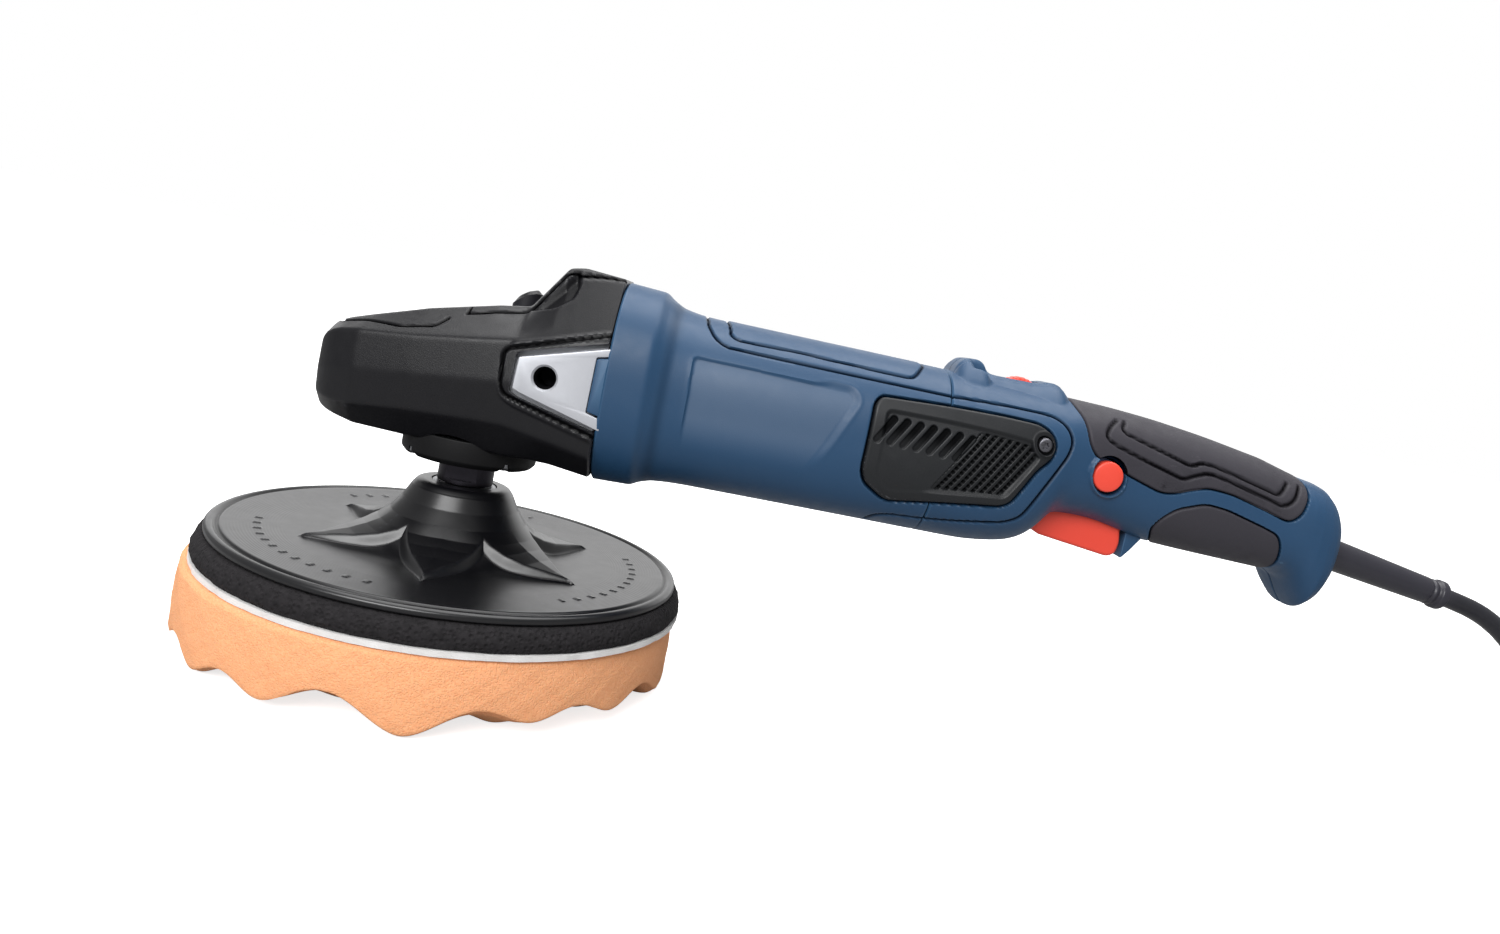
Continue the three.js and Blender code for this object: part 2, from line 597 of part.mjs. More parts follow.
function handleShell(side) {
  const reach = block([SEAM_X + GAP, -60, 60], [HANDLE_END_X + 4, -GAP / 2, 170]);
  const posts = HANDLE_SCREWS.map(([x, z]) => pegY(x, z, 4.6, -40, 0, 14).intersect(housingOuter));
  const guard = slab([[252.4, 99], [252.6, 86.8], [255.4, 90.8], [259.6, 99]], -9, 0);
  const raised = island();
  const collar = pegY(LOCK_ON.x, LOCK_ON.z, LOCK_ON.radius + 1.6, LOCK_ON.face + 0.8, -20, 20);
  const wall = join(housingWall, raised, ...posts, guard, ...(side < 0 ? [collar] : []));
  const screwHoles = HANDLE_SCREWS.map(([x, z, headY]) => (side < 0
    ? pegY(x, z, 2, -10, 1, 10)
    : join(pegY(x, z, 2.3, -30, 1, 10), pegY(x, z, 4.1, -50, -headY, 14))));
  const dialSlot = block([DIAL.x - 10, -DIAL.halfWidth - 0.5, 120], [DIAL.x + 10, 1, 170])
    .intersect(pegY(DIAL.x, DIAL.z, DIAL.radius + 0.6, -20, 20, 24));
  const triggerPocket = slab(grown(TRIGGER_OUTLINE, 1), -TRIGGER_HALF_WIDTH - 0.6, 1);
  const triggerRoom = block([215.6, -TRIGGER_HALF_WIDTH - 0.6, 94], [252.1, 1, 104]);
  const lockHole = pegY(LOCK_ON.x, LOCK_ON.z, LOCK_ON.radius + 0.4, -50, -8, 20);
  const cordHole = ring(0, 7.2, HANDLE_END_X - 14, HANDLE_END_X + 6, 'x', 20).translate([0, 0, BOOT_Z]);
  const gripSeat = cut(housingVolume(-3), housingVolume(GRIP_DEPTH + GAP));
  const grips = [UPPER_GRIP_OUTLINE, LOWER_GRIP_OUTLINE]
    .map((outline) => slab(grown(outline, GAP), -50, 50).intersect(gripSeat));
  const ventScrewHole = pegY(VENT_SCREW.x, VENT_SCREW.z, 1.9, -50, -20);
  const openings = [...screwHoles, dialSlot, triggerPocket, triggerRoom, cordHole, ventScrewHole, ...grips];
  if (side < 0) openings.push(lockHole);
  const half = cut(wall.intersect(reach), ventOpenings(), ...openings);
  return onSide(half, side);
}

const GRIP_DEPTH = 1.4;
const LOCK_ON = { x: 233.9, z: 118.3, radius: 5.7, face: -25.6 };
const BOOT_Z = 105;

function grip(outline, side) {
  const skin = cut(housingOuter, housingVolume(GRIP_DEPTH));
  const solid = skin.intersect(slab(outline, -50, -GAP / 2));
  const buttonRoom = pegY(LOCK_ON.x, LOCK_ON.z, LOCK_ON.radius + 1.9, -50, -8, 20);
  const screwRoom = HANDLE_SCREWS.map(([x, z]) => pegY(x, z, 4.1, -50, -8));
  return onSide(cut(solid, ...(side < 0 ? [buttonRoom] : screwRoom)), side);
}

function trigger() {
  return slab(TRIGGER_OUTLINE, -TRIGGER_HALF_WIDTH, TRIGGER_HALF_WIDTH);
}

function lockOnButton() {
  const { x, z, radius, face } = LOCK_ON;
  const cap = pegY(x, z, radius, face, -19, 20);
  const stem = pegY(x, z, 2.5, -20, -14.4, 12);
  return join(cap, stem);
}

function speedWheel() {
  const { x, z, radius, halfWidth } = DIAL;
  const wheel = pegY(x, z, radius, -halfWidth, halfWidth, 24);
  return cut(wheel, pegY(x, z, 1.8, -20, 20, 12));
}

function cordBoot() {
  const collar = ring(0, 9, HANDLE_END_X - 13.4, HANDLE_END_X - 10.8, 'x', 16).translate([0, 0, BOOT_Z]);
  const neck = ring(0, 6.4, HANDLE_END_X - 11, HANDLE_END_X + 1, 'x', 16).translate([0, 0, BOOT_Z]);
  const slope = Math.atan2(BOOT_Z - CORD_EXIT.z, CORD_EXIT.x - HANDLE_END_X);
  const length = Math.hypot(BOOT_Z - CORD_EXIT.z, CORD_EXIT.x - HANDLE_END_X) - GAP;
  const sleeve = turned([
    [0, 0], [6.4, 0], [5.2, length - 4], [5.9, length - 4], [5.9, length], [0, length],
  ], 'x', 16).rotate([0, THREE.MathUtils.radToDeg(slope), 0]).translate([HANDLE_END_X, 0, BOOT_Z]);
  return join(collar, neck, sleeve);
}

// ---------------------------------------------------------------- cord and plug

// From the boot the cord droops to the floor and runs into a coil, then from the coil to the plug.
const CORD_ROUTE = [
  [388.6, 0, 96.5], [396, 0, 95.1], [404, 0, 93.2], [412, 0, 90], [420, 0, 85.2], [427, 0, 79],
  [432.6, 0, 71.6], [436.8, 0, 63.4], [439.8, 0, 54.6], [442.4, 0, 45.8], [445.4, 0, 37],
  [449.4, 0, 28.6], [454.6, 0, 21], [461, 0.1, 14.6], [468.4, 0.4, 9.4], [476.4, 0.9, 5.8],
  [485, 1.6, 4], [490.2, 2, 3.8],
];
const CORD_TAIL = [
  [549.6, 2.25, 26.2], [560, 2.4, 24.6], [570, 3.6, 21.4], [578, 7.4, 18.9], [583.4, 13.6, 18],
  [586, 21.4, 18], [586.6, 29, 18],
];
const PLUG = { x: 586.6, y: 29.3, z: 18 };

function tube(route, sides = 8) {
  const points = route.map((point) => new THREE.Vector3(...point));
  const curve = new THREE.CatmullRomCurve3(points, false, 'centripetal');
  const section = new THREE.Shape();
  for (let i = 0; i < sides; i += 1) {
    const angle = 2 * Math.PI * i / sides;
    const at = [CORD_RADIUS * Math.cos(angle), CORD_RADIUS * Math.sin(angle)];
    if (i === 0) section.moveTo(...at);
    else section.lineTo(...at);
  }
  const steps = Math.max(6, Math.round(curve.getLength() / (5 * CORD_RADIUS)));
  return toSolid(new THREE.ExtrudeGeometry(section, { steps, extrudePath: curve }));
}

function cordCoil() {
  return ring(COIL.inner, COIL.outer, 0.01, COIL.height, 'z', 30).translate([COIL.x, COIL.y, 0]);
}

function plug() {
  const body = new THREE.LatheGeometry([
    [0, 0], [5.5, 0], [7, 16], [13, 24], [17.6, 30], [17.6, 42], [16.6, 44], [0, 44],
  ].map(([r, h]) => new THREE.Vector2(r, h)), 16);
  const pins = [-9.5, 9.5].map((x) => {
    const pin = new THREE.CylinderGeometry(2.4, 2.4, 20, 8);
    pin.translate(x, 53, 0);
    return toSolid(pin);
  });
  return join(toSolid(body), ...pins).translate([PLUG.x, PLUG.y, PLUG.z]);
}

// ---------------------------------------------------------------- assembly

add('polishing_pad', polishingPad(), 'foam');
add('loop_layer', loopLayer(), 'fleece');
add('cushion_layer', cushionLayer(), 'cushion');
add('backing_plate', backingPlate(), 'black');
add('plate_insert', plateInsert(), 'steel');
add('spindle', spindle(), 'steel');
add('crown_wheel', crownWheel(), 'steel');
add('bevel_pinion', pinion(), 'steel');
add('lower_spindle_bearing', ring(8.7, 16, 82.4, 92.5, 'z', 24), 'steel');
add('upper_spindle_bearing', ring(6, 8.6, 116, 127, 'z', 20), 'steel');
add('bearing_flange', bearingFlange(), 'black');
FLANGE_SCREW_SPOTS.forEach(([x, y], i) => {
  const mesh = add(`flange_screw_${i + 1}`, screw(2.7, 2.4, 1.6, 14), 'steel');
  mesh.position.set(x, y, FLANGE_LOW + 0.7);
});
add('gear_housing', gearHousing(), 'aluminium');
add('head_cover', headCover(), 'black');
add('spindle_lock_button', spindleLockButton(), 'black');

const bearingPlate = ring(13.4, 32, FLANGE_X + 0.3, 60, 'x', 24);
add('bearing_plate', alongMotor(bearingPlate), 'aluminium');
add('front_motor_bearing', alongMotor(ring(4.3, 13, 50, 59, 'x', 20)), 'steel');
add('rear_motor_bearing', alongMotor(ring(4.3, 9.4, 158.5, 165.5, 'x', 20)), 'steel');
add('armature_shaft', armatureShaft(), 'steel');
add('armature_core', armatureCore(), 'steel');
add('front_winding', endWinding(79, 87.7), 'copper');
add('rear_winding', endWinding(126.3, 135), 'copper');
add('commutator', alongMotor(ring(5.3, 11.7, 137, 151, 'x', 20)), 'copper');
add('cooling_fan', coolingFan(), 'black');
add('air_baffle', alongMotor(ring(19, 27.6, 75.4, 77.4, 'x', 24)), 'black');
add('stator', alongMotor(ring(22.2, 27.8, 84, 130, 'x', 24)), 'steel');
add('upper_field_coil', fieldCoil(1), 'copper');
add('lower_field_coil', fieldCoil(-1), 'copper');
SIDES.forEach(([name, side]) => {
  add(`${name}_brush_holder`, brushHolder(side), 'copper');
  add(`${name}_carbon_brush`, carbonBrush(side), 'carbon');
});

add('motor_housing', motorHousing(), 'blue');
SIDES.forEach(([name, side]) => {
  add(`${name}_vent_cover`, ventCover(side), 'black');
  const mesh = add(`${name}_vent_screw`, screw(2.8, 2, 1.6, 9), 'steel');
  mesh.position.set(VENT_SCREW.x, side * (VENT_SCREW.y + 2), VENT_SCREW.z);
  mesh.rotation.x = side * Math.PI / 2;
  add(`${name}_handle_shell`, handleShell(side), 'blue');
  add(`${name}_upper_grip`, grip(UPPER_GRIP_OUTLINE, side), 'rubber');
  add(`${name}_lower_grip`, grip(LOWER_GRIP_OUTLINE, side), 'rubber');
});
HANDLE_SCREWS.forEach(([x, z, headY], i) => {
  const mesh = add(`handle_screw_${i + 1}`, screw(3.7, 2.6, 1.7, headY + 5), 'steel');
  mesh.position.set(x, headY + 2.9, z);
  mesh.rotation.x = Math.PI / 2;
});
add('trigger', trigger(), 'red');
add('lock_on_button', lockOnButton(), 'red');
add('speed_wheel', speedWheel(), 'red');
add('switch_body', block([226, -11, 107], [262, 11, 126]), 'black');
add('electronics_module', block([176, -20, 97], [192, 20, 126]), 'black');
add('cord_clamp', block([311.2, -10, 100.6], [319.6, 10, 103.6]), 'black');
add('cord_boot', cordBoot(), 'black');
add('cord_tube', tube(CORD_ROUTE), 'black');
add('cord_coil', cordCoil(), 'black');
add('cord_tail', tube(CORD_TAIL), 'black');
add('plug', plug(), 'black');

export default polisher;
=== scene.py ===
"""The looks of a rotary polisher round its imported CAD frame, built in millimetres and scaled to metres."""
import math

import bmesh
import bpy
import numpy as np
from mathutils import Matrix, Vector


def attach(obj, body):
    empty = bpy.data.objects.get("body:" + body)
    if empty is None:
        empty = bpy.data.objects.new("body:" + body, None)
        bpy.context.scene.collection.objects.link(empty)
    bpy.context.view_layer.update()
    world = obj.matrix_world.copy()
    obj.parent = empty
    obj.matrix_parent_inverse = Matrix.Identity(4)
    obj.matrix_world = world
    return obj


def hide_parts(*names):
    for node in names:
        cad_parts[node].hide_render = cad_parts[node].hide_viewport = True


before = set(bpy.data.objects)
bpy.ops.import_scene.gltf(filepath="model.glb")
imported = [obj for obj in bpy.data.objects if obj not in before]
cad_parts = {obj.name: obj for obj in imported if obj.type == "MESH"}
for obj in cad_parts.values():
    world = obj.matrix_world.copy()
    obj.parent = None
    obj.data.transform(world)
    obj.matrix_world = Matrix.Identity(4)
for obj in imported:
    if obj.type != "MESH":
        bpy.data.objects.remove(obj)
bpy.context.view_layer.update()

MM = 0.001
TAU = 2 * math.pi

# ---------------------------------------------------------------- driving dimensions, mm

MOTOR_AXIS = 113.5
FLANGE_X = 48.5
SEAM_X = 170
HANDLE_END_X = 334
GAP = 0.3

PAD_TOP = 27.4
PLATE_RADIUS = 86.6
PLATE_LOW = 38.4
HUB_TOP = 65
HUB_BORE = 12.3

CORD_RADIUS = 3.75
CORD_EXIT = (388.6, 0, 96.5)
BOOT_Z = 105

# Outer shape of the motor housing and handle: x, half width, top, bottom and superellipse exponent.
BODY_SECTIONS = [
    (48.5, 38, 151.8, 77.4, 2.6), (62.5, 37.6, 151, 77.8, 2.6), (65.5, 36, 148.8, 79.4, 2.6),
    (70, 34.6, 146.4, 80.9, 2.6), (77, 34, 145.2, 81.6, 2.6), (120, 34, 144.8, 82, 2.6),
    (170, 34, 144.4, 82.3, 2.6), (190, 33.6, 143.9, 82.4, 2.6), (204, 32, 143.5, 84.4, 2.6),
    (210.5, 30.3, 143.4, 86.8, 2.6), (215, 28.8, 143.3, 92, 2.6), (219, 27.2, 143.2, 99.6, 2.6),
    (236, 23.6, 142.8, 99.8, 2.6), (250, 22.2, 141.9, 96.8, 2.6), (256, 22, 141.4, 95.6, 2.6),
    (275, 21, 139.2, 94.8, 2.6), (298, 20.5, 135.6, 94.2, 2.6), (308, 20.8, 133, 94, 2.6),
    (313, 21.2, 131.8, 94, 2.6), (317, 21.4, 131.2, 91.6, 2.6), (321, 21.4, 130.6, 85.4, 2.6),
    (325, 20.8, 129.4, 80.8, 2.6), (328.6, 19.4, 126.6, 83.6, 2.6), (331.6, 16.5, 122, 89.4, 2.6),
    (333.6, 11.5, 115.5, 97, 2.4), (334.2, 8.4, 112.9, 97.9, 2.1), (333.6, 7, 112, 98, 2),
    (331, 6.9, 111.9, 98.1, 2),
]

# Outer shape of the head cover: x, half width, half width of the flat top, then the heights of the top,
# the shoulder, the widest line, the lower facet and the underside.
COVER_SECTIONS = [
    (-57, 4, 2, 101.5, 101, 98.8, 97, 96), (-56.6, 12, 6, 108, 105.5, 99, 93.5, 90),
    (-54.5, 18, 9, 115, 111.5, 100, 91, 86), (-50, 22.5, 11.5, 118.2, 114.6, 101.2, 90.2, 84),
    (-40, 27, 13, 121.6, 116.5, 102.8, 89.8, 82), (-20, 30.5, 14, 128, 118.7, 104.9, 92, 81.6),
    (5, 34, 15, 134.2, 122.6, 107.8, 93.6, 81.6), (16, 35.3, 15.5, 136, 124.6, 109.2, 93.8, 81.4),
    (27.5, 36.6, 17, 152.3, 127, 110.5, 92, 82), (33, 37, 17.5, 153.4, 127.8, 111.2, 91.2, 82),
    (48.2, 38, 18, 152.4, 129.6, 113, 88.4, 80.2),
]

# Side outlines and grooves of the body as (x, z) points.
VENT_OUTLINE = [
    (143, 104), (143, 128), (145, 130.9), (203.4, 132.2), (208.4, 130), (211, 125.6), (209.8, 120.4),
    (205.4, 116), (198.4, 102.4), (194.8, 100.4), (172.8, 97.4), (154, 94.2), (145, 99.6),
]
UPPER_GRIP = [
    (217.5, 146), (218.8, 140.4), (222.4, 135.4), (224.6, 128.6), (228.4, 124.4), (239.4, 121.2),
    (256, 116.4), (261, 117), (266.4, 119.4), (273.5, 121.6), (283.5, 121), (307, 115), (310.8, 118.2),
    (313.2, 124.6), (313.6, 128.5), (311, 146),
]
LOWER_GRIP = [
    (266, 92), (257.7, 102.1), (259.8, 106.8), (264.2, 111.2), (274.5, 115.1), (283, 114.5), (304.2, 109.1),
    (306.6, 105.4), (308.9, 98.5), (308.6, 92),
]
RACETRACK = [
    (78.5, 150), (79.9, 142.4), (83, 138.6), (87.3, 136.4), (96, 136.2), (130, 135.9), (169.9, 135.6),
    (208.7, 136), (214.4, 133.6), (217.5, 128.5), (216.7, 123.1), (209, 108), (204.1, 97.3), (198.4, 94.3),
    (181.7, 91.5), (168.9, 89.7), (157.8, 88.9), (152.5, 87.4), (150.6, 84.5),
]
TOP_PANEL = [
    (86, 150), (88.5, 140.4), (91.3, 139.4), (115, 139.5), (141, 138.9), (155.3, 138.8), (157.5, 140.7),
    (160.4, 143.5), (161, 150),
]
LABEL_OUTLINE = [
    (77.6, 130.7), (97.4, 130.4), (133.6, 129.5), (135, 127.3), (127.4, 109.8), (122, 99.6), (103.8, 97.5),
    (79.1, 95), (78.3, 104.9), (78.2, 118.3),
]
GRIP_LINES = [
    [(234.9, 139), (231.4, 135.9), (230.1, 132.4), (234, 130.3), (248.7, 126.3), (263.2, 122.6),
     (266.7, 124.6), (272.5, 126.8), (278.9, 125.8), (290.9, 123.1), (303.3, 120.1), (307.2, 122.6),
     (309.9, 128.5)],
    [(238.1, 138.9), (236.6, 136.2), (238.5, 134.8), (251.1, 131.6), (265.4, 127.9), (269.1, 130),
     (274.7, 129.6), (286.5, 127.2), (300.9, 123.9), (302.5, 125.9), (304.5, 128.8)],
]

VENT_DEPTH = 1.9
GRIP_DEPTH = 1.4
BUTTON_OPENING = 7.9                 # radius of the room that the left grip leaves round the lock-on button
SCREW_OPENING = 4.2
VENT_SCREW = (206.4, 125.2)
VENT_SCREW_Y = 28.9
LOCK_ON = (233.9, 118.3)
LOCK_ON_RADIUS = 5.7
LOCK_ON_FACE = 25.6
DIAL = (200.6, 138.4)
DIAL_RADIUS = 9
DIAL_BORE = 1.8
HANDLE_SCREWS = [(183, 91, 22.5), (268, 131.5, 14.5), (306, 101.5, 13.5)]
SOCKET = (28.3, 113.5)
SOCKET_RADIUS = 4
BOSS_FACE_Y = 36.6
FLANGE_RADIUS = 25
FLANGE_LOW = 74.6
FLANGE_SCREW_CIRCLE = 22.1
LOCK_CAP = (9.5, 11.8, 5.4)
LOCK_PIN = (7.1, 8.8, 1.5)
LOCK_BASE = 134.2
LOCK_PIN_END = 114.6

# ---------------------------------------------------------------- camera

CAMERA_AZIMUTH = math.radians(3.42)
CAMERA_ELEVATION = math.radians(7.76)
CAMERA_ROLL = math.radians(11.86)
CAMERA_DISTANCE = 0.4
CAMERA_TARGET = Vector((0.10605, 0, 0.09241))
CAMERA_LENS = 24.884
SENSOR_WIDTH = 36


def make_camera():
    data = bpy.data.cameras.new("camera")
    data.lens = CAMERA_LENS
    data.sensor_width = SENSOR_WIDTH
    data.clip_start = 0.01
    data.clip_end = 50
    camera = bpy.data.objects.new("camera", data)
    bpy.context.scene.collection.objects.link(camera)
    sin_a, cos_a = math.sin(CAMERA_AZIMUTH), math.cos(CAMERA_AZIMUTH)
    sin_e, cos_e = math.sin(CAMERA_ELEVATION), math.cos(CAMERA_ELEVATION)
    forward = Vector((sin_a * cos_e, cos_a * cos_e, -sin_e))
    level = Vector((cos_a, -sin_a, 0))
    above = level.cross(forward)
    right = level * math.cos(CAMERA_ROLL) + above * math.sin(CAMERA_ROLL)
    up = -level * math.sin(CAMERA_ROLL) + above * math.cos(CAMERA_ROLL)
    turn = Matrix((right, up, -forward)).transposed().to_4x4()
    camera.matrix_world = Matrix.Translation(CAMERA_TARGET - forward * CAMERA_DISTANCE) @ turn
    bpy.context.scene.camera = camera


make_camera()

# ---------------------------------------------------------------- materials


def linear(red, green, blue):
    """A display colour, 0 to 255, as linear light."""
    shares = (red / 255, green / 255, blue / 255)
    return tuple(((c + 0.055) / 1.055) ** 2.4 if c > 0.04 else c / 12.92 for c in shares)


class Nodes:
    """A short way to write a material's node tree."""

    def __init__(self, name):
        self.material = bpy.data.materials.new(name)
        self.material.use_nodes = True
        self.tree = self.material.node_tree
        self.shader = self.tree.nodes["Principled BSDF"]
        self.place = self.add("ShaderNodeTexCoord").outputs["Object"]

    def add(self, kind, **settings):
        node = self.tree.nodes.new(kind)
        for key, value in settings.items():
            setattr(node, key, value)
        return node

    def link(self, source, target):
        self.tree.links.new(source, target)

    def value(self, target, source):
        if isinstance(source, (int, float, tuple)):
            target.default_value = source
        else:
            self.link(source, target)

    def noise(self, scale, detail=3, rough=0.55):
        node = self.add("ShaderNodeTexNoise")
        self.link(self.place, node.inputs["Vector"])
        node.inputs["Scale"].default_value = scale
        node.inputs["Detail"].default_value = detail
        node.inputs["Roughness"].default_value = rough
        return node.outputs["Fac"]

    def cells(self, scale):
        node = self.add("ShaderNodeTexVoronoi")
        self.link(self.place, node.inputs["Vector"])
        node.inputs["Scale"].default_value = scale
        return node.outputs["Distance"]

    def remap(self, source, low, high, to_low, to_high):
        node = self.add("ShaderNodeMapRange")
        self.link(source, node.inputs["Value"])
        for key, value in zip(("From Min", "From Max", "To Min", "To Max"), (low, high, to_low, to_high)):
            node.inputs[key].default_value = value
        return node.outputs["Result"]

    def mix(self, share, first, second, blend="MIX"):
        node = self.add("ShaderNodeMix", data_type="RGBA", blend_type=blend)
        self.value(node.inputs["Factor"], share)
        for socket, colour in ((node.inputs["A"], first), (node.inputs["B"], second)):
            self.value(socket, (*colour, 1) if isinstance(colour, tuple) and len(colour) == 3 else colour)
        return node.outputs["Result"]

    def attribute(self, name):
        return self.add("ShaderNodeAttribute", attribute_name=name).outputs["Fac"]

    def edges(self, low, high, amount):
        return self.remap(self.add("ShaderNodeNewGeometry").outputs["Pointiness"], low, high, 0, amount)

    def bump(self, height, strength, distance):
        node = self.add("ShaderNodeBump")
        node.inputs["Strength"].default_value = strength
        node.inputs["Distance"].default_value = distance
        self.link(height, node.inputs["Height"])
        self.link(node.outputs["Normal"], self.shader.inputs["Normal"])


def moulded(name, colour, roughness, grain=2600, relief=0.25, mottle=0.12, wear=0.25, edge=None, specular=0.5,
            spread=0.05):
    """Moulded plastic or rubber: spark-eroded grain, faint mottling, painted shade in grooves and gaps, and
    rubbed edges.
    """
    n = Nodes(name)
    dark = tuple(c * (1 - mottle) for c in colour)
    light = tuple(min(1, c * (1 + mottle)) for c in colour)
    base = n.mix(n.noise(38, 4), dark, light)
    rubbed = edge or tuple(min(1, c * 1.6 + 0.03) for c in colour)
    worn = n.mix(n.edges(0.52, 0.62, wear), base, rubbed)
    # Painted shade: where the mesh marks grooves, gaps and recesses, the colour goes almost black.
    shaded = n.mix(n.attribute("painted_shade"), worn, tuple(c * 0.08 for c in colour))
    n.link(shaded, n.shader.inputs["Base Color"])
    gloss = n.remap(n.noise(210, 3), 0.3, 0.7, roughness - spread, roughness + spread)
    n.link(gloss, n.shader.inputs["Roughness"])
    # The painted shade also takes away the specular shine there.
    n.link(n.remap(n.attribute("painted_shade"), 0, 1, specular, 0), n.shader.inputs["Specular IOR Level"])
    n.bump(n.noise(grain, 4, 0.6), relief, 0.0002)
    return n.material


def blue_housing():
    """The body's blue plastic, with the blank rating label's greyer field painted lighter as a reflection
    that fades towards the bottom, and painted shade in grooves and gaps.
    """
    colour = linear(29, 67, 101)
    n = Nodes("blue_plastic")
    base = n.mix(n.noise(30, 4), tuple(c * 0.93 for c in colour), tuple(c * 1.07 for c in colour))
    # The label's field is lighter: partly the label's own grey, partly a painted reflection that fades out
    # towards the bottom.
    labelled = n.mix(n.attribute("label"), base, linear(64, 88, 116))
    worn = n.mix(n.edges(0.515, 0.6, 0.35), labelled, linear(84, 124, 158))
    # Painted shade: grooves, gaps and recesses that the mesh marks go dark blue and lose their specular
    # shine.
    shaded = n.mix(n.attribute("painted_shade"), worn, linear(6, 14, 26))
    n.link(shaded, n.shader.inputs["Base Color"])
    n.link(n.remap(n.attribute("painted_shade"), 0, 1, 0.5, 0), n.shader.inputs["Specular IOR Level"])
    n.link(n.remap(n.noise(180, 3), 0.3, 0.7, 0.42, 0.52), n.shader.inputs["Roughness"])
    n.bump(n.noise(2800, 4, 0.6), 0.22, 0.0002)
    return n.material


def foam(name, colour, shade, scale, relief, roughness=0.95, glow=0.0):
    """Open-cell foam: small pits and speckles over soft colour drift."""
    n = Nodes(name)
    pits = n.remap(n.cells(scale), 0.0, 0.55, 0, 1)
    drift = n.mix(n.noise(22, 3), tuple(c * 0.94 for c in colour), tuple(min(1, c * 1.05) for c in colour))
    speckled = n.mix(n.remap(n.noise(scale * 0.8, 4, 0.7), 0.35, 0.62, 0.45, 0), drift, shade)
    # Painted shade: hollows that the mesh marks take the darker speckle colour.
    n.link(n.mix(n.attribute("painted_shade"), speckled, shade), n.shader.inputs["Base Color"])
    n.shader.inputs["Roughness"].default_value = roughness
    n.shader.inputs["Specular IOR Level"].default_value = 0.2
    if glow:
        n.shader.inputs["Subsurface Weight"].default_value = glow
        n.shader.inputs["Subsurface Radius"].default_value = (0.004, 0.002, 0.001)
        n.shader.inputs["Subsurface Scale"].default_value = 1
    n.bump(pits, relief, 0.0006)
    return n.material


def fleece():
    n = Nodes("fleece")
    fibres = n.noise(3400, 5, 0.75)
    n.link(n.mix(fibres, linear(226, 224, 222), linear(252, 251, 250)), n.shader.inputs["Base Color"])
    n.shader.inputs["Roughness"].default_value = 0.95
    n.shader.inputs["Sheen Weight"].default_value = 0.4
    n.bump(fibres, 0.7, 0.0006)
    return n.material


def metal(name, colour, roughness, scratch=900, relief=0.12, cast=0.0):
    """Machined or cast metal: stretched scratches, a little staining and bright edges."""
    n = Nodes(name)
    stretch = n.add("ShaderNodeMapping")
    n.link(n.place, stretch.inputs["Vector"])
    stretch.inputs["Scale"].default_value = (1, 1, 14)
    lines = n.add("ShaderNodeTexNoise")
    lines.inputs["Scale"].default_value = scratch
    lines.inputs["Detail"].default_value = 3
    n.link(stretch.outputs["Vector"], lines.inputs["Vector"])
    stained = n.mix(n.noise(60, 4), tuple(c * 0.86 for c in colour), colour)
    n.link(n.mix(n.edges(0.52, 0.6, 0.4), stained, tuple(min(1, c * 1.25) for c in colour)),
           n.shader.inputs["Base Color"])
    n.shader.inputs["Metallic"].default_value = 1 - cast
    n.link(n.remap(lines.outputs["Fac"], 0.3, 0.7, roughness - 0.06, roughness + 0.1),
           n.shader.inputs["Roughness"])
    n.bump(lines.outputs["Fac"], relief, 0.0001)
    return n.material


BLUE = blue_housing()
COVER_BLACK = moulded("cover_black", linear(15, 15, 19), 0.38, 2400, 0.3, 0.1, 0.3, linear(66, 66, 74), 0.36)
VENT_BLACK = moulded("vent_black", linear(26, 28, 31), 0.45, 2400, 0.3, 0.1, 0.4, linear(96, 96, 102), 0.4)
INNER_BLACK = moulded("inner_black", linear(30, 30, 32), 0.55)
FLANGE_BLACK = moulded("flange_black", linear(9, 9, 11), 0.55, wear=0.1, edge=linear(30, 30, 34),
                       specular=0.25)
PLATE_BLACK = moulded("plate_black", linear(13, 13, 16), 0.3, 1500, 0.03, 0.1, 0.2, linear(80, 80, 90), 0.6,
                      0.015)
GRIP = moulded("grip_rubber", linear(52, 50, 57), 0.6, 1900, 0.5, 0.1, 0.25, linear(90, 86, 94), 0.4)
RED = moulded("red_plastic", linear(236, 74, 56), 0.42, 2600, 0.16, 0.05, 0.35, linear(250, 122, 100))
CORD = moulded("cord_rubber", linear(30, 30, 36), 0.34, 2000, 0.15, 0.12, 0.2, linear(80, 80, 90))
BOOT_RUBBER = moulded("boot_rubber", linear(44, 43, 51), 0.36, 2000, 0.15, 0.12, 0.2, linear(96, 96, 108))
PAD_FOAM = foam("pad_foam", linear(255, 184, 136), linear(238, 150, 98), 1500, 0.45, glow=0.1)
CUSHION_FOAM = foam("cushion_foam", linear(40, 38, 40), linear(8, 8, 9), 620, 1.0, 0.9)
FLEECE = fleece()
CAST = metal("cast_aluminium", linear(206, 208, 214), 0.42, 700, 0.15, 0.45)
STEEL = metal("steel", linear(150, 151, 155), 0.32)
DARK_STEEL = metal("dark_steel", linear(58, 56, 62), 0.38)
SCREW_STEEL = metal("screw_steel", linear(112, 112, 118), 0.36)
THREAD = metal("dark_thread", linear(24, 24, 26), 0.5)
COPPER = metal("copper", linear(190, 118, 70), 0.35)
CARBON = moulded("carbon", linear(48, 48, 50), 0.6)

# ---------------------------------------------------------------- meshes


